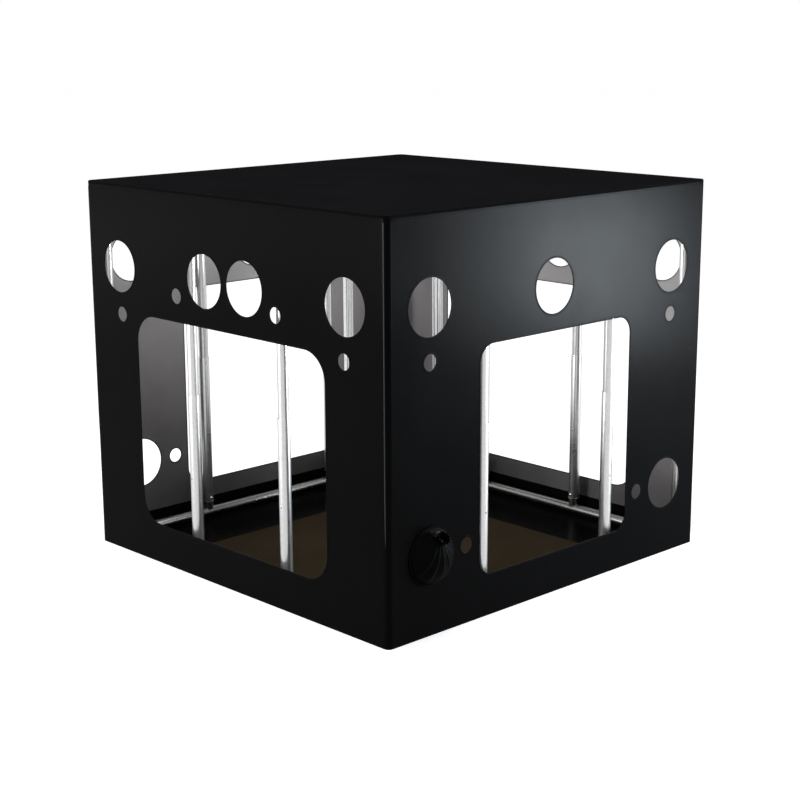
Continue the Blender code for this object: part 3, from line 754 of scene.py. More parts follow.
# %% Walls: the sheet
PATCH_MARGIN = {DUCT: 0.010, CABLE: 0.009}
DOOR_PATCH_MARGIN = 0.012
SHEET_STEP, RINGS, EDGE_LINES = 0.010, 3, 9


def patch_of(opening):
    """The rectangle of grid that an opening's rings replace."""
    cu, cv, half_u, half_v, _ = opening
    margin = PATCH_MARGIN.get(half_u, DOOR_PATCH_MARGIN)
    return cu - half_u - margin, cu + half_u + margin, cv - half_v - margin, cv + half_v + margin


def grid_lines(low, high, marks):
    """Grid lines from low to high that pass through every mark and are about a step apart."""
    marks = np.unique(np.round(np.concatenate([[low, high], marks]), 6))
    runs = [np.linspace(a, b, max(1, int(math.ceil((b - a) / SHEET_STEP))) + 1)[:-1]
            for a, b in zip(marks, marks[1:])]
    return np.concatenate(runs + [marks[-1:]])


def sheet_with_openings(high_u, high_v, openings):
    """Points (u, v) and faces of a sheet with openings, from -high_u to high_u and from 0 to high_v: a
    grid without the patches, and for each patch rings from its border to the rim,
    (1 - t) border + t rim."""
    patches = [patch_of(opening) for opening in openings]
    edge = FLAT_HALF + EDGE_RADIUS * np.linspace(0, QUARTER, EDGE_LINES)
    edge = edge[edge < high_u]
    lines_u = grid_lines(-high_u, high_u, [p for a, b, _, _ in patches for p in (a, b)] + [*edge, *-edge])
    lines_v = grid_lines(0.0, high_v, [p for _, _, a, b in patches for p in (a, b)])
    rows, columns = len(lines_v), len(lines_u)
    points = [np.stack(np.meshgrid(lines_u, lines_v), -1).reshape(-1, 2)]
    quads = grid_quads(rows, columns)
    middle = points[0][quads].mean(1)
    keep = np.ones(len(quads), bool)
    rings = []
    count = len(points[0])
    for opening, (a, b, c, d) in zip(openings, patches):
        keep &= ~((middle[:, 0] > a) & (middle[:, 0] < b) & (middle[:, 1] > c) & (middle[:, 1] < d))
        i0, i1 = (int(np.argmin(np.abs(lines_u - x))) for x in (a, b))
        j0, j1 = (int(np.argmin(np.abs(lines_v - x))) for x in (c, d))
        across, up = np.arange(i0, i1), np.arange(j0, j1)
        border = np.concatenate([j0 * columns + across, up * columns + i1,
                                 j1 * columns + across[::-1] + 1, (up[::-1] + 1) * columns + i0])
        outer = points[0][border]
        share = (np.arange(1, RINGS + 1) / RINGS)[:, None, None]
        points.append(((1 - share) * outer + share * rim_points(opening, outer, 0.0)).reshape(-1, 2))
        index = np.concatenate([border[None], count + np.arange(RINGS * len(border)).reshape(RINGS, -1)])
        after = np.roll(index, -1, 1)
        rings.append(stacked(index[:-1], after[:-1], after[1:], index[1:]).reshape(-1, 4))
        count += RINGS * len(border)
    points, quads = np.concatenate(points), np.concatenate([quads[keep]] + rings)
    used, index = np.unique(quads, return_inverse=True)
    return points[used], index.reshape(-1, 4)


def cloth_area(side):
    """Area of a wall's cloth: the full rectangle less its openings, each of them a rectangle less what
    its four rounded corners lose."""
    lost = sum(4 * half_u * half_v - (4 - math.pi) * radius ** 2
               for _, _, half_u, half_v, radius in openings_of(side))
    return 2 * CLOTH_HALF[side] * WALL_TOP - lost


for side, turn in SIDES:
    flat, quads = sheet_with_openings(CLOTH_HALF[side], WALL_TOP, openings_of(side))
    wall = piece(side + "_wall_cloth", (on_wall(flat[:, 0], flat[:, 1], 0.0, turn), quads), [SHELL, LINING],
                 replaces=[side + "_wall"], uv=flat, closed=False)
    solidified(wall, FABRIC, lining=True)
    print(wall.name, len(quads), "faces, cloth", round(cloth_area(side), 3), "m2")

# %% [markdown]
# ## Binding and stitching of the openings
#
# Every cut edge of the real cover is bound: a ribbed tape is folded over the edge and sewn through.
# The tape is a flat rounded section that goes round the rim and holds the cloth between its two
# sides. The stitches are real grains of thread, on both sides of the wall.

# %% Walls: tape and stitches
TAPE_WIDTH, TAPE_LIFT, TAPE_OVERHANG, TAPE_TURN_IN, TAPE_THICK = 0.0045, 0.0010, 0.0006, 0.0016, 0.0004
STITCH_OFFSET = 0.0033


def wall_binding(side, turn):
    """The bindings of one wall: for each opening a rounded strip, folded over the rim. It is wide on the
    outer face of the cloth, where it is sewn, and only just turned in on the lining."""
    inner_side = FABRIC / 2 - TAPE_THICK
    section = rounded_profile([(-TAPE_OVERHANG, -TAPE_LIFT), (TAPE_TURN_IN, -TAPE_LIFT),
                               (TAPE_TURN_IN, inner_side), (TAPE_WIDTH, inner_side),
                               (TAPE_WIDTH, TAPE_LIFT), (-TAPE_OVERHANG, TAPE_LIFT)], TAPE_THICK, 3)
    parts, maps = [], []
    for opening in openings_of(side):
        middle = rim_path(opening, 0.0)
        outside = middle + (middle - np.array(opening[:2])) * 1e-3
        loops = np.stack([rim_points(opening, outside, offset) for offset in section[:, 0]], 1)
        points = on_wall(loops[..., 0], loops[..., 1], section[None, :, 1] - FABRIC / 2, turn)
        parts.append((points, grid_quads(len(middle), len(section), close_rows=True, close_columns=True)))
        around = np.arange(len(middle)) * np.linalg.norm(middle[1] - middle[0])
        maps.append(stacked(around[:, None], length_along(section)).reshape(-1, 2))
    return piece(side + "_wall_binding", joined(parts), [GLOSSY_TAPE], uv=np.concatenate(maps))


def wall_stitches(side, turn):
    """Stitches round every opening, on the tape outside and on the lining inside."""
    parts = []
    outward = turned((0, -1, 0), turn)
    for opening in openings_of(side):
        places, ahead = even_steps(rim_path(opening, STITCH_OFFSET, 0.002), STITCH_PITCH)
        for lift in (TAPE_LIFT - FABRIC / 2, -FABRIC):
            start, end = (on_wall(p[:, 0], p[:, 1], lift, turn) for p in (places, places + ahead))
            parts.append(stitch_row(start, end - start, outward))
    return piece(side + "_wall_stitches", joined(parts), [THREAD])


for side, turn in SIDES:
    binding, stitches = wall_binding(side, turn), wall_stitches(side, turn)
    cloth_area(side)
    print(binding.name, stitches.name, len(stitches.data.polygons) // GRAIN_FACES, "stitches")

# %% [markdown]
# ## The upright seams
#
# The front and back walls turn round the upright edges and meet the side walls there. A thin tape lies
# in each seam. Where the cloth starts to turn, a fine glossy cord is sewn in, which keeps the edge
# straight and catches a thin line of light down each edge. Towards the foot it sinks into the cloth.

# %% Upright seams
CORD_RADIUS, CORD_SHIFT = 0.0016, 0.004
CORD_SINKS_BELOW, CORD_SINKS_OVER, CORD_SINKS_BY = 0.38, 0.22, 0.0026
TAPE_HALF_WIDTH, TAPE_HALF_THICK, TAPE_DEPTH, TAPE_ROUND = 0.0010, 0.0004, 0.0005, 0.0002
SEAM_END = 0.002
heights = np.linspace(SEAM_END, WALL_TOP - SEAM_END, 110)
sunk = CORD_SINKS_BY * np.clip((CORD_SINKS_BELOW - heights) / CORD_SINKS_OVER, 0, 1)


def upright_strips(name, places, section, material):
    """A section carried up the tent at the given places, x, y and outward direction, as one piece."""
    ring = len(section)
    parts, maps, caps = [], [], []
    for count, (x, y, out) in enumerate(places):
        path = stacked(x, y, heights)
        parts.append(swept(path, section, out))
        around = np.linspace(0, 2 * math.pi * section[:, 0].max(), ring)
        maps.append(stacked(heights[:, None], around).reshape(-1, 2))
        caps += end_caps(ring, len(heights), count * len(heights) * ring)
    return piece(name, joined(parts), [material], uv=np.concatenate(maps), caps=caps)


corner_signs = [(x, y) for x in (-1.0, 1.0) for y in (-1.0, 1.0)]
tape_places = [(x * (HALF - TAPE_DEPTH), y * (FLAT_HALF - SEAM / 2), (x, 0.0, 0.0)) for x, y in corner_signs]
cord_places = [(x * (FLAT_HALF + CORD_SHIFT), y * (HALF - CORD_RADIUS / 2 - sunk), (0.0, y, 0.0))
               for x, y in corner_signs]
tape_section = strip_section(TAPE_HALF_WIDTH, TAPE_HALF_THICK, TAPE_ROUND, 2)
upright_strips("upright_seam_tape", tape_places, tape_section, SHELL)
upright_strips("upright_edge_cord", cord_places, round_section(CORD_RADIUS), EDGE_CORD)
print("upright seams made")

# %% [markdown]
# ## Loose folds of the lining
#
# Near the back left corner the lining is not pulled tight. A flat fold of it stands off the cloth of
# each wall there, and its bare film catches the light as a bright upright stripe, which shows through
# the ports beside the front edge.

# %% Lining folds
FOLD_INSET = 0.060
INNER_FACE = -FABRIC - GAP
CREASES, CREASE_DEPTH, FOLD_FOOT, FOLD_SWAY = 3, 0.0014, 0.0006, 0.0012


def lining_fold(side, turn, thin_edge, ridge, far_edge, depth):
    """A flat fold on the inner side of a wall: it rises from its thin edge to a ridge, with shallow
    creases along it, and falls from there to its far edge."""
    share = np.linspace(0, 1, 25)
    creases = CREASE_DEPTH * np.sin(CREASES * 2 * math.pi * share) * share
    depths = FOLD_FOOT + depth * share ** 1.3 + creases
    rise = stacked(thin_edge + (ridge - thin_edge) * share, INNER_FACE - depths)
    section = np.concatenate([rise, [(far_edge, INNER_FACE), (thin_edge, INNER_FACE)]])
    v = np.linspace(FOLD_INSET, WALL_TOP - FOLD_INSET, 60)[:, None]
    points = on_wall(section[:, 0] + FOLD_SWAY * np.sin(5.0 * v + turn), v, section[:, 1], turn)
    quads = grid_quads(len(v), len(section), close_columns=True)
    return piece(side + "_lining_fold", (points, quads), [FILM],
                 caps=end_caps(len(section), len(v)))


lining_fold("left", 3 * QUARTER, -0.342, -0.380, -0.384, 0.004)
lining_fold("back", 2 * QUARTER, 0.405, 0.445, 0.447, 0.008)
print("lining folds made")

# %% [markdown]
# ## Roof
#
# The roof is one square of the same cloth. Its rim rolls over, with a thin piping along the fold, and
# hangs down a short way to where it is sewn to the walls. The sheet is a square grid inside, and
# rounded square rings outside it, which go over the edge along a quarter circle.

# %% Roof and tub: rounded square sheets
def square_sheet(core, ring_offsets, cells=60, fan=8):
    """Flat points and faces of a square sheet with round corners: a grid over the core, and rings at
    growing offsets from it. Past a corner of the core the rings fan out about it."""
    lines = np.linspace(-core, core, cells + 1)
    inside = np.stack(np.meshgrid(lines, lines), -1).reshape(-1, 2)
    edge = stacked(lines, -core)
    angle = np.linspace(-QUARTER, 0, fan + 1)[1:-1]
    side_points = np.concatenate([edge, np.broadcast_to([core, -core], (len(angle), 2))])
    side_ways = np.concatenate([np.broadcast_to([0.0, -1.0], edge.shape),
                                stacked(np.cos(angle), np.sin(angle))])
    around, ways = on_all_sides(side_points), on_all_sides(side_ways)
    rings = around[None] + np.asarray(ring_offsets)[:, None, None] * ways[None]
    ring_quads = grid_quads(len(ring_offsets), len(around), close_columns=True)[:, ::-1] + len(inside)
    quads = np.concatenate([grid_quads(cells + 1, cells + 1), ring_quads])
    flat = np.concatenate([inside, rings.reshape(-1, 2)])
    offset = np.concatenate([np.zeros(len(inside)), np.repeat(ring_offsets, len(around))])
    way = np.concatenate([np.zeros_like(inside), np.broadcast_to(ways, rings.shape).reshape(-1, 2)])
    return flat, quads, offset, way


def rolled(offset, flat_part, radius):
    """How far out and how far down an offset ends that runs flat, then round a quarter circle, then
    straight down."""
    bend = np.clip((offset - flat_part) / radius, 0, QUARTER)
    rest = np.clip(offset - flat_part - radius * QUARTER, 0, None)
    out = np.minimum(offset, flat_part) + radius * np.sin(bend)
    return out, radius * (1 - np.cos(bend)) + rest


# %% Roof: the sheet
ROOF_FOLD, ROOF_SAG, ROOF_BAND = 0.004, 0.0022, 0.0035
ROOF_FLAT = EDGE_RADIUS - ROOF_FOLD
ROOF_BEND_END = ROOF_FLAT + ROOF_FOLD * QUARTER
ROOF_BAND_START, ROOF_BAND_END = ROOF_FLAT + ROOF_FOLD * QUARTER / 2, ROOF_BEND_END + ROOF_BAND
ROOF_REACH = ROOF_BEND_END + ROOF_SKIRT - ROOF_FOLD
flat, quads, offset, way = square_sheet(
    FLAT_HALF, np.concatenate([[0, ROOF_FLAT / 2], ROOF_FLAT + ROOF_FOLD * np.linspace(0, QUARTER, 9),
                               [ROOF_BAND_END, ROOF_REACH]]))
out, down = rolled(offset, ROOF_FLAT, ROOF_FOLD)
base = flat + way * (out - offset)[:, None]
inner = np.clip(1 - np.max(np.abs(flat), axis=1) / HALF, 0, 1)
sag = ROOF_SAG * np.clip(inner * 3, 0, 1) * (0.7 + 0.3 * np.sin(5 * flat[:, 0] + 1) * np.cos(4 * flat[:, 1]))
nearest = offset[quads].min(1) + 0.0001
# For the top, the skirt and the band on the fold: the outer finish, then the one of the inner side
ROOF_FINISHES = [LIGHTENED_ROOF_SHELL, LINING, SHELL, LINING, TAPE, LINING]
on_top, on_skirt, on_band = 0, 2, 4
finish_of_face = np.select([nearest >= ROOF_BAND_END, nearest >= ROOF_BAND_START],
                           [on_skirt, on_band], on_top)
roof = piece("roof_cloth", (np.column_stack([base, HEIGHT - down - sag]), quads), ROOF_FINISHES,
             replaces=["roof_panel"], uv=flat, closed=False, material_of_face=finish_of_face)
solidified(roof, FABRIC, lining=True)
print("roof_cloth", len(quads), "faces")

# %% Roof: piping, seam tape and stitches
PIPING_RADIUS, PIPING_SINK, STITCH_ABOVE_SEAM = 0.0012, 0.0002, 0.0016
PATH_STEP = 0.01
angle = np.linspace(0, QUARTER, 13)[1:-1]
side_run = stacked(np.linspace(-FLAT_HALF, FLAT_HALF, 120), -HALF)
turn_run = stacked(FLAT_HALF + EDGE_RADIUS * np.sin(angle), -FLAT_HALF - EDGE_RADIUS * np.cos(angle))


def all_round(run, height):
    """A run of points along the front edge, turned to all four sides as a closed path at a height."""
    return on_all_sides(stacked(*run.T, height))


inset = ROOF_FOLD * (1 - math.sin(QUARTER / 2)) + PIPING_SINK
outline = all_round(np.concatenate([side_run, turn_run]), 0.0)
lift = np.array([0.0, 0.0, HEIGHT - inset])
piping = trim("roof_piping", outline * (1 - inset / HALF) + lift, round_section(PIPING_RADIUS), UP, TAPE,
              PATH_STEP, 0.007)
tape_path = outline * (1 - TAPE_DEPTH / HALF) + [0, 0, WALL_TOP + SEAM / 2]
tape_section = strip_section(TAPE_HALF_THICK, TAPE_HALF_WIDTH, TAPE_ROUND, 2)
seam_tape = trim("roof_seam_tape", tape_path, tape_section, UP, SHELL, PATH_STEP, 0.005)
places, ahead = even_steps(outline + [0, 0, HEIGHT - ROOF_SKIRT + STITCH_ABOVE_SEAM], STITCH_PITCH)
outward = unit((places - np.clip(places, -FLAT_HALF, FLAT_HALF)) * [1, 1, 0])
roof_stitches = piece("roof_stitches", stitch_row(places, ahead, outward), [THREAD])

# %% [markdown]
# ## Floor tub and mat
#
# The tub keeps spilled water in: a sheet of soft black vinyl whose rim is folded up inside the walls.
# It uses the same square sheet as the roof, bent upwards. The mat lies loose on it, bound round its
# edge, and nearer the front right corner.

# %% Tub
TUB_INSET, TUB_BEND, TUB_TOP, TUB_RIPPLE = FABRIC + GAP, 0.006, 0.052, 0.0012
TUB_FLAT = EDGE_RADIUS - TUB_INSET - TUB_BEND
TUB_BEND_END = TUB_FLAT + TUB_BEND * QUARTER
TUB_REACH = TUB_BEND_END + TUB_TOP - TUB_BEND
flat, quads, offset, way = square_sheet(
    FLAT_HALF, np.concatenate([[0, TUB_FLAT], TUB_FLAT + TUB_BEND * np.linspace(0, QUARTER, 6)[1:],
                               np.linspace(TUB_BEND_END, TUB_REACH, 9)[1:]]))
out, rise = rolled(offset, TUB_FLAT, TUB_BEND)
along = flat[:, 0] * np.abs(way[:, 1]) + flat[:, 1] * np.abs(way[:, 0])
straight = np.max(np.abs(way), axis=1) > 0.999
ripple = np.clip(rise / TUB_TOP, 0, 1) * (1 + np.sin(31 * along) * np.sin(13 * along + 1)) / 2
base = flat + way * (out - TUB_RIPPLE * straight * ripple - offset)[:, None]
tub = piece("floor_tub_sheet", (np.column_stack([base, rise]), quads[:, ::-1]), [VINYL],
            replaces=["floor_tub"], uv=flat, closed=False)
solidified(tub, FABRIC)

HEM_HALF, HEM_THICK, HEM_SINK, HEM_ROUND = 0.003, 0.0011, 0.0008, 0.0009
hem_run = np.concatenate([side_run * [1, (HALF - TUB_INSET) / HALF],
                          turn_run - np.sign(turn_run) * TUB_INSET * 0.9])
hem_path = all_round(hem_run, TUB_TOP - HEM_HALF) * [1 - HEM_SINK / HALF, 1 - HEM_SINK / HALF, 1]
hem = trim("floor_tub_hem", hem_path, strip_section(HEM_THICK, HEM_HALF, HEM_ROUND), UP, TAPE,
           PATH_STEP, 0.012)

# %% Mat
mat_low, mat_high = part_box("floor_mat")
MAT_TOP, MAT_HALF = mat_high[2], (mat_high[0] - mat_low[0]) / 2
MAT_MIDDLE = ((mat_high[0] + mat_low[0]) / 2, (mat_high[1] + mat_low[1]) / 2)
MAT_CORNER, MAT_THICK, MAT_WAVE = 0.010, 0.0018, 0.0006
MAT_EDGE_OUT, MAT_EDGE_IN, MAT_EDGE_HALF, MAT_EDGE_ROUND = 0.0008, 0.007, 0.0016, 0.001


def mat_lift(flat):
    """How far the mat's waves lift its cloth."""
    return MAT_WAVE * (1 + np.sin(9 * flat[:, 0] + 0.5) * np.sin(7 * flat[:, 1] + 1.1))


flat, quads, offset, _ = square_sheet(MAT_HALF - MAT_CORNER, np.array([0, 0.5, 1.0]) * MAT_CORNER)
mat = piece("floor_mat_sheet", (np.column_stack([flat + MAT_MIDDLE, MAT_TOP + mat_lift(flat)]), quads), [MAT],
            replaces=["floor_mat"], uv=flat, closed=False)
solidified(mat, MAT_THICK)
border = flat[offset >= MAT_CORNER - 1e-6]
edge_path = np.column_stack([border + MAT_MIDDLE, MAT_TOP - MAT_THICK / 2 + mat_lift(border)])
section = rounded_box(-MAT_EDGE_OUT, MAT_EDGE_IN, -MAT_EDGE_HALF, MAT_EDGE_HALF, MAT_EDGE_ROUND, 3)
mat_edge = trim("floor_mat_binding", edge_path, section * [-1, 1], UP, MAT_TAPE, 0.012, 0.02)
print("tub and mat made")

# %% [markdown]
# ## Frame tubes
#
# Each upright is a thick lower tube with a slimmer one standing in it. At the foot it slips over a
# plug that is welded to the bottom rail, and stands on a collar. The tubes are turned shapes with a
# real wall and rounded rims, and a weld bead follows the line where two tubes meet.

# %% Uprights
def wall_uprights():
    """Side, end, foot and turn of the two uprights behind each wall."""
    for side, turn in SIDES:
        for way, end in zip((-1, 1), UPRIGHT_NAMES[side]):
            yield side, end, turned((way * UPRIGHT_OFFSET[side], -FRAME_HALF, 0), turn), turn


corner_feet = {corner: turned((-FRAME_HALF, -FRAME_HALF, 0), turn) for corner, turn in CORNERS}
feet = [("corner_" + corner, foot) for corner, foot in corner_feet.items()]
feet += [(side + "_mid_" + end, foot) for side, end, foot, _ in wall_uprights()]
for name, foot in feet:
    for level_name, radius, wall, rim in (("lower", POLE_RADIUS, POLE_WALL, 0.0005),
                                          ("upper", SLIM_RADIUS, TUBE_WALL, 0.0004)):
        low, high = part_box(f"{name}_pole_{level_name}")
        tube = tube_shape(radius, wall, foot + UP * low[2], foot + UP * high[2], rim)
        piece(f"{name}_{level_name}_tube", tube, [STEEL_UP],
              replaces=[f"{name}_pole_{level_name}"])

# %% Rails with their plugs and weld beads
BEAD_RADIUS = 0.0012
FOOT_PLUG_REACH, HEAD_PLUG_REACH, HEAD_PLUG_RADIUS = 0.058, 0.065, 0.0126
PLUG_START, CORNER_PLUG_START = 0.010, 0.012
COLLAR_PROUD, COLLAR_LAP, COLLAR_THICK, COLLAR_ROUND = 0.0018, 0.0004, 0.003, 0.0008
RAIL_HALF = FRAME_HALF - RAIL_RADIUS - GAP


def saddle_bead(stub_radius, centre, rail_axis, up):
    """The weld bead where a stub stands on a round rail: it goes round the stub at the height of the
    rail's surface there, sqrt(R^2 - s^2)."""
    angle = full_turn(72)[:, None]
    s = stub_radius * np.sin(angle)
    height = np.sqrt(np.maximum(RAIL_RADIUS ** 2 - s ** 2, 0))
    from_centre = stub_radius * np.cos(angle) * rail_axis + s * np.cross(up, rail_axis) + height * up
    points, quads = swept(centre + from_centre, round_section(BEAD_RADIUS, 8), from_centre, closed=True)
    middle = (centre + from_centre)[:, None]
    wobble = 1 + 0.08 * np.sin(24 * angle)
    return middle + (points - middle) * wobble[:, None], quads


def foot_plug(foot):
    """A foot plug with its collar: the plug is an open tube, the collar a ring with a rounded rim."""
    ring = rounded_box(SLIM_RADIUS - COLLAR_LAP, POLE_RADIUS + COLLAR_PROUD, 0, COLLAR_THICK, COLLAR_ROUND)
    return [tube_shape(SLIM_RADIUS, TUBE_WALL, foot + UP * (BOTTOM_RAIL_Z + PLUG_START),
                       foot + UP * (COLLAR_TOP + FOOT_PLUG_REACH)),
            revolved(ring, foot + UP * (COLLAR_TOP - COLLAR_THICK), UP)]


def head_plug(foot, start):
    """The plug under a top rail, from a start inside the rail down into the upper tube."""
    return [tube_shape(HEAD_PLUG_RADIUS, TUBE_WALL, foot + UP * (TOP_RAIL_Z - start),
                       foot + UP * (TOP_RAIL_Z - HEAD_PLUG_REACH))]


for side, turn in SIDES:
    axis, inward = turned((1, 0, 0), turn), turned((0, 1, 0), turn)
    side_feet = [foot for name, _, foot, _ in wall_uprights() if name == side]
    bottom, top = [], []
    for foot in side_feet:
        at_bottom, at_top = foot + UP * BOTTOM_RAIL_Z, foot + UP * TOP_RAIL_Z
        bottom += foot_plug(foot) + [saddle_bead(SLIM_RADIUS, at_bottom, axis, UP)]
        top += head_plug(foot, PLUG_START) + [saddle_bead(HEAD_PLUG_RADIUS, at_top, axis, -UP)]
    for level_name, rail_z, parts in (("bottom", BOTTOM_RAIL_Z, bottom), ("top", TOP_RAIL_Z, top)):
        ends = [axis * RAIL_HALF * way - inward * FRAME_HALF + UP * rail_z for way in (-1, 1)]
        piece(f"{level_name}_rail_tube_{side}", joined([tube_shape(RAIL_RADIUS, TUBE_WALL, *ends)] + parts),
              [STEEL_X if side in ("front", "back") else STEEL_Y],
              replaces=[f"{level_name}_rail_{side}"], merge=False)

# %% Corner fittings
SPIGOT_RADIUS, SPIGOT_REACH, CORNER_ROUND = 0.0135, 0.050, 0.004


def rounded_cube(half, radius, centre, cells=14):
    """A cube with rounded edges: points of a cube's six faces are pulled to the cube inside the
    radius, and lie the radius away from there."""
    s = np.linspace(-half, half, cells + 1)
    a, b = np.meshgrid(s, s)
    full = np.full_like(a, half)
    parts = []
    for face in ((full, a, b), (-full, b, a), (b, full, a), (a, -full, b), (a, b, full), (b, a, -full)):
        face = stacked(*face)
        core = np.clip(face, -(half - radius), half - radius)
        parts.append((centre + core + unit(face - core) * radius, grid_quads(cells + 1, cells + 1)))
    return joined(parts)


for corner, turn in CORNERS:
    foot = corner_feet[corner]
    for level_name, z, plug in (("bottom", BOTTOM_RAIL_Z, foot_plug(foot)),
                                ("top", TOP_RAIL_Z, head_plug(foot, CORNER_PLUG_START))):
        at = foot + UP * z
        parts = [rounded_cube(RAIL_RADIUS, CORNER_ROUND, at)]
        for way in (turned((1, 0, 0), turn), turned((0, 1, 0), turn)):
            parts.append(tube_shape(SPIGOT_RADIUS, TUBE_WALL, at + way * CORNER_PLUG_START,
                                    at + way * (RAIL_RADIUS + SPIGOT_REACH)))
        piece(f"{level_name}_corner_casting_{corner}", joined(parts + plug), [CAST],
              replaces=[f"{level_name}_corner_{corner}"])

# %% [markdown]
# ## Snap buttons and rivets
#
# A domed button comes through each foot from inside and locks the pole on its plug. It is turned: a
# shaft, a rounded shoulder and a shallow dome. The rivets that hold the leaf springs show as smaller
# domed heads on the tube.

# %% Buttons and rivets
BUTTON_RADIUS, BUTTON_FOOT, BUTTON_PROUD, BUTTON_RISE = 0.0040, 0.0093, 0.0020, 0.0015
FLANGE_BORE, FLANGE_RADIUS, FLANGE_THICK, FLANGE_ROUND = 0.0020, 0.0055, 0.0012, 0.0003
RIVET_RADIUS, RIVET_SUNK, RIVET_PROUD, RIVET_RISE = 0.0032, 0.001, 0.0001, 0.0013
button_profile = dome_profile(BUTTON_RADIUS, BUTTON_FOOT, POLE_RADIUS + BUTTON_PROUD, BUTTON_RISE)
flange = rounded_box(FLANGE_BORE, FLANGE_RADIUS, BUTTON_FOOT, BUTTON_FOOT + FLANGE_THICK, FLANGE_ROUND)
rivet_head = dome_profile(RIVET_RADIUS, POLE_RADIUS - RIVET_SUNK, POLE_RADIUS + RIVET_PROUD, RIVET_RISE, 5)
rivets = []
for side, end, foot, turn in wall_uprights():
    inward = turned((0, 1, 0), turn)
    place = foot + UP * BUTTON_Z
    piece(f"{side}_mid_{end}_button", joined([revolved(button_profile, place, inward, 40, closed=False),
                                              revolved(flange, place, inward, 40)]),
          [BUTTON], body=f"button_{side}_{end}", replaces=[f"{side}_mid_{end}_pole_button"])
    rivets += [revolved(rivet_head, foot + UP * RIVET_Z, out, 24, closed=False) for out in (-inward, inward)]
piece("pole_rivets", joined(rivets), [RIVET])

# %% [markdown]
# ## Hanging bars
#
# Two bars run from front to back under the roof and carry the lamp. Each end has a bent saddle that
# hooks over the top rail, so the bar slides along it. The saddle is half a ring with rounded rims: a
# small section carried half way round the rail.

# %% Bars
BAR_X, BAR_RADIUS = 0.300, 0.0095
SADDLE_BORE, SADDLE_WALL, SADDLE_HALF = RAIL_RADIUS + GAP, 0.002, 0.012
SADDLE_ROUND, SADDLE_STEPS = 0.0006, 33


def half_saddle(centre):
    """Half a ring over a rail: a rounded rectangle (radius, side) carried from 0 to 180 degrees."""
    section = rounded_box(SADDLE_BORE, SADDLE_BORE + SADDLE_WALL, -SADDLE_HALF, SADDLE_HALF, SADDLE_ROUND, 3)
    angle = np.linspace(0, math.pi, SADDLE_STEPS)[:, None]
    r, s = section[:, 0], section[:, 1]
    points = stacked(s, r * np.cos(angle), r * np.sin(angle)) + centre
    return points, grid_quads(SADDLE_STEPS, len(section), close_columns=True)


for side, way in (("left", -1), ("right", 1)):
    x = way * BAR_X
    reach = FRAME_HALF - SADDLE_BORE - SADDLE_WALL / 2
    parts = [tube_shape(BAR_RADIUS, TUBE_WALL, (x, -reach, TOP_RAIL_Z), (x, reach, TOP_RAIL_Z))]
    parts += [half_saddle((x, end * FRAME_HALF, TOP_RAIL_Z)) for end in (-1, 1)]
    first, ring = parts[0][0].size // 3, parts[1][0].shape[1]
    caps = [cap for start in (first, first + SADDLE_STEPS * ring)
            for cap in end_caps(ring, SADDLE_STEPS, start)]
    piece("hanging_bar_tube_" + side, joined(parts), [STEEL_Y], body="bar_" + side,
          replaces=["hanging_bar_" + side], caps=caps)
print("frame made")

# %% [markdown]
# ## The closed sleeve
#
# One low port has its fabric sleeve pulled outside and tied shut. The cloth is gathered: it starts
# smooth at the round hem, sags, and is drawn up into pleats at the neck, beyond which a short frill
# opens again. The surface is rings along a bent line, with a ripple whose depth grows to the neck.

# %% Sleeve: the gathered cloth
SLEEVE_AT = np.array([HALF, -LOW_DUCT_OUT, LOW_Z])
NECK_REACH, NECK_RISE, SLANT = 0.030, 0.044, math.radians(42)
NECK_RADIUS, NECK_LENGTH, FRILL_RADIUS, FRILL_LENGTH = 0.011, 0.009, 0.017, 0.011
FLANGE_LAP, HEM_REACH, PLEATS = 0.004, 0.0030, 12
SLEEVE_RINGS, AROUND, SLEEVE_THICK = 64, 288, 0.0008


def neck_at(length):
    """Reach out of the wall and rise above the port's middle, a length along the slanted neck."""
    return NECK_REACH + length * math.cos(SLANT), NECK_RISE + length * math.sin(SLANT)


# Reach, rise, tilt as a share of the slant, radius and depth of the pleats
SLEEVE_ROWS = np.array([
    (0.0003, 0.0000, 0.00, DUCT + FLANGE_LAP, 0.000),
    (HEM_REACH, 0.0000, 0.00, DUCT, 0.002),
    (NECK_REACH * 0.37, NECK_RISE * 0.07, 0.15, DUCT * 0.93, 0.012),
    (NECK_REACH * 0.70, NECK_RISE * 0.28, 0.43, DUCT * 0.70, 0.040),
    (NECK_REACH * 0.90, NECK_RISE * 0.60, 0.76, DUCT * 0.42, 0.085),
    (*neck_at(0), 1.0, NECK_RADIUS, 0.09),
    (*neck_at(NECK_LENGTH), 1.0, NECK_RADIUS, 0.09),
    (*neck_at(NECK_LENGTH + FRILL_LENGTH), 1.0, FRILL_RADIUS, 0.13)])


def smooth_rows(rows, count):
    """Rows between the given ones, on a smooth curve through them: each stretch blends its two rows and
    their slopes by cubics, (2f^3 - 3f^2 + 1) a + (f^3 - 2f^2 + f) a' + (3f^2 - 2f^3) b + (f^3 - f^2) b'."""
    slope = np.gradient(rows, axis=0)
    t = np.linspace(0, len(rows) - 1, count)
    i = np.minimum(t.astype(int), len(rows) - 2)
    f = (t - i)[:, None]
    return ((2 * f ** 3 - 3 * f ** 2 + 1) * rows[i] + (f ** 3 - 2 * f ** 2 + f) * slope[i]
            + (-2 * f ** 3 + 3 * f ** 2) * rows[i + 1] + (f ** 3 - f ** 2) * slope[i + 1])


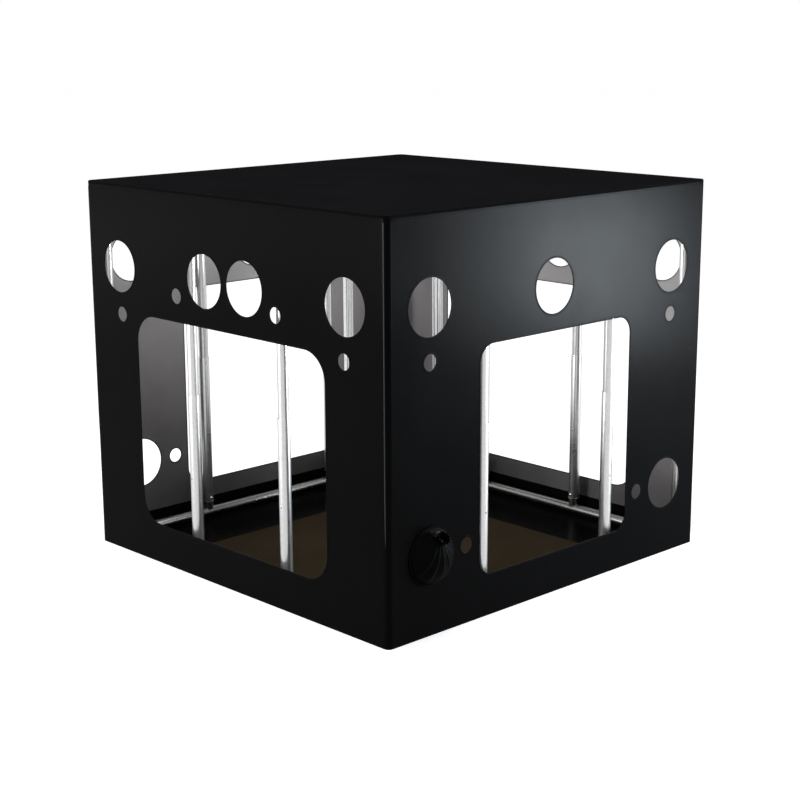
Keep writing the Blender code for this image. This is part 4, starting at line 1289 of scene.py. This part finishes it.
angle = full_turn(AROUND)
reach, rise, tilt, radius, depth = smooth_rows(SLEEVE_ROWS, SLEEVE_RINGS).T[:, :, None]
ripple = (np.cos(PLEATS * angle + 0.35 * np.sin(3 * angle)) + 0.35 * np.cos(2 * PLEATS * angle + 1.0)
          + 0.25 * np.sin(5 * angle + 0.6))
length = radius * (1 + np.clip(depth, 0, None) * ripple)
lean = tilt * SLANT
points = SLEEVE_AT + stacked(reach - np.sin(lean) * length * np.cos(angle), length * np.sin(angle),
                             rise + np.cos(lean) * length * np.cos(angle))
along = length_along(points.mean(1))
sleeve_map = stacked(angle * DUCT, along[:, None])
sleeve = piece("port_sleeve_cloth", (points, grid_quads(SLEEVE_RINGS, AROUND, close_columns=True)),
               [SLEEVE_CLOTH], replaces=["port_sleeve"], uv=sleeve_map)
solidified(sleeve, SLEEVE_THICK)

# %% Sleeve: hem, stitches and tie
HEM_LIFT, HEM_OUT, HEM_HALF_THICK = 0.0016, 0.0024, 0.0013
TIE_RADIUS, TIE_CORD, TIE_KNOT, TIE_SPACING = NECK_RADIUS * 1.12 + 0.0010, 0.0012, 0.0030, 0.0013
OUT_OF_WALL = (1.0, 0.0, 0.0)
angle = full_turn(160)
hem_ring = SLEEVE_AT + stacked(HEM_LIFT, (DUCT + HEM_OUT) * np.sin(angle), (DUCT + HEM_OUT) * np.cos(angle))
hem_section = strip_section(HEM_REACH, HEM_HALF_THICK, HEM_ROUND)
sleeve_hem = trim("port_sleeve_hem", hem_ring, hem_section, OUT_OF_WALL, TAPE, 0.003, 0.02)
places, ahead = even_steps(hem_ring + [HEM_HALF_THICK, 0, 0], STITCH_PITCH)
sleeve_stitches = piece("port_sleeve_stitches", stitch_row(places, ahead, OUT_OF_WALL), [THREAD])

angle = full_turn(96)[:, None]
neck_up = np.array([-math.sin(SLANT), 0.0, math.cos(SLANT)])
neck_along = np.array([math.cos(SLANT), 0.0, math.sin(SLANT)])
pull = TIE_RADIUS + TIE_KNOT * np.clip(np.cos(angle), 0, 1) ** 6
loop = pull * np.cos(angle) * neck_up + TIE_RADIUS * np.sin(angle) * np.array([0.0, 1.0, 0.0])
ties = []
for shift in (-TIE_SPACING, TIE_SPACING):
    reach, rise = neck_at(NECK_LENGTH / 2 + shift)
    ties.append(swept(loop + SLEEVE_AT + [reach, 0, rise], round_section(TIE_CORD), neck_along, closed=True))
tie_map = stacked(np.arange(96)[:, None] * 0.001, np.linspace(0, 0.008, 10)).reshape(-1, 2)
sleeve_tie = piece("port_sleeve_tie", joined(ties), [TAPE], uv=np.tile(tie_map, (2, 1)))

# %% Cord lock
LOCK_RADIUS, LOCK_BORE, LOCK_HALF, LOCK_FLOOR, LOCK_ROUND = 0.0070, 0.0048, 0.009, 0.003, 0.0008
RIDGE_LOW, RIDGE_HIGH, RIDGE_HALF, RIDGE_PITCH, RIDGE_ROUND = 0.0066, 0.0072, 0.0006, 0.003, 0.0003
PLUNGER_RADIUS, PLUNGER_TOP, PLUNGER_RISE = 0.0045, 0.0125, 0.0015
LOCK_AXIS = (0, 1, 0)
lock_place = [(a + b) / 2 for a, b in zip(*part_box("sleeve_cord_lock"))]
barrel = rounded_profile([(LOCK_BORE, -LOCK_FLOOR), (LOCK_BORE, LOCK_HALF), (LOCK_RADIUS, LOCK_HALF),
                          (LOCK_RADIUS, -LOCK_HALF), (0, -LOCK_HALF), (0, -LOCK_FLOOR)], LOCK_ROUND)
barrel[:, 0] = np.clip(barrel[:, 0], 0, None)
ridges = [rounded_box(RIDGE_LOW, RIDGE_HIGH, at - RIDGE_HALF, at + RIDGE_HALF, RIDGE_ROUND)
          for at in RIDGE_PITCH * np.arange(-2, 3)]
lock_parts = [revolved(profile, lock_place, LOCK_AXIS, 40) for profile in [barrel] + ridges]
piece("cord_lock_barrel", joined(lock_parts), [PLASTIC], replaces=["sleeve_cord_lock"])
knob = dome_profile(PLUNGER_RADIUS, GAP, PLUNGER_TOP, PLUNGER_RISE)
piece("cord_lock_plunger", revolved(knob, lock_place, LOCK_AXIS, 40, closed=False), [PLASTIC],
      body="lock_button", replaces=["sleeve_lock_button"])

# %% [markdown]
# ## Studio
#
# The photograph is a cut-out on white, lit softly from the right: the right wall shows a wide sheen
# near its top, and the front wall stays dark. The camera and all that mirrors see the floor and the
# world near white; light that spreads comes from a duller world, so that the black cloth stays black.

# %% Floor, card and world
FLOOR_SIZE, FLOOR_DROP = 30.0, 0.0006
FLOOR_DULL, FLOOR_PALE, DULL_WORLD = (0.3, 0.3, 0.3), (0.95, 0.95, 0.95), (0.5, 0.5, 0.5)


def seen_directly(tree):
    """1 for a ray from the camera, off metal or gloss, or through glass, and 0 for light that spreads."""
    path = node(tree, "ShaderNodeLightPath").outputs
    either = calc(tree, "MAXIMUM", path["Is Camera Ray"], path["Is Glossy Ray"])
    return calc(tree, "MAXIMUM", either, path["Is Transmission Ray"])


def stage_sheet(name, corners, colour, roughness, dull, bright):
    """A flat sheet of the studio that glows in one colour for light that spreads and in another where it
    is seen directly."""
    mesh = mesh_from(name, np.array(corners, float), np.array([[0, 1, 2, 3]]))
    mat, tree, shader = finish(name, colour, roughness, specular=0.0)
    tree.links.new(two_colours(tree, seen_directly(tree), dull, bright), shader.inputs["Emission Color"])
    shader.inputs["Emission Strength"].default_value = 1.0
    mesh.materials.append(mat)
    sheet = placed(name, mesh)
    return sheet, tree, shader


def stage_floor(size, drop):
    """A pale floor. It is seen near white, and it keeps the tent's shadow."""
    corners = [(-size, -size, -drop), (size, -size, -drop), (size, size, -drop), (-size, size, -drop)]
    _, tree, shader = stage_sheet("studio_floor", corners, FLOOR_PALE, 0.9, (0, 0, 0), (0.52, 0.52, 0.52))
    to_camera = node(tree, "ShaderNodeLightPath").outputs["Is Camera Ray"]
    tree.links.new(two_colours(tree, to_camera, FLOOR_DULL, FLOOR_PALE), shader.inputs["Base Color"])


def stage_card(left, right, behind, top):
    """An upright white card behind the tent, which keeps the sheen panel's light out of the back doorway.
    The camera looks past it, and other rays find it as bright as the world."""
    corners = [(left, behind, 0), (right, behind, 0), (right, behind, top), (left, behind, top)]
    card, _, _ = stage_sheet("studio_card", corners, (0, 0, 0), 1.0, DULL_WORLD, (1, 1, 1))
    card.visible_camera = False


stage_floor(FLOOR_SIZE, FLOOR_DROP)
stage_card(-0.70, 0.79, 0.90, 1.30)
world = bpy.data.worlds.new("studio")
bpy.context.scene.world = world
world.use_nodes = True
tree = world.node_tree
background = tree.nodes["Background"]
tree.links.new(two_colours(tree, seen_directly(tree), DULL_WORLD, (1, 1, 1)), background.inputs["Color"])
background.inputs["Strength"].default_value = 1.0


# %% Lamps
def lamp(name, place, target, size, power, colour=(1, 1, 1)):
    """A soft area lamp that faces a target."""
    data = bpy.data.lights.new(name, "AREA")
    data.shape = "RECTANGLE"
    data.size, data.size_y = size
    data.energy = power
    data.color = colour
    way = Vector(target) - Vector(place)
    facing = way.to_track_quat("-Z", "Y").to_matrix().to_4x4()
    placed(name, data).matrix_world = Matrix.Translation(place) @ facing


lamp("sheen_panel", (2.10, 1.89, 0.53), (0.6, 0.08, 0.53), (0.56, 0.60), 71, (0.86, 0.94, 1.0))
lamp("front_sheen", (-3.9, -3.6, 0.33), (0.0, -0.6, 0.9), (2.6, 0.5), 8)
lamp("front_key", (-1.2, -3.6, 0.9), (0.1, 0.0, 0.6), (1.0, 1.0), 70)
lamp("top_panel", (0.0, -0.5, 4.5), (0, 0, 0.5), (3.0, 3.0), 70)

inner_light = bpy.data.lights.new("inner_glow", "POINT")
inner_light.energy = 4.0
inner_light.shadow_soft_size = 0.12
placed("inner_glow", inner_light).location = (0.0, 0.0, 0.86)
bpy.context.scene.view_settings.view_transform = "Standard"

# %% Finish
for name, faces in PIECES:
    print(name, faces)
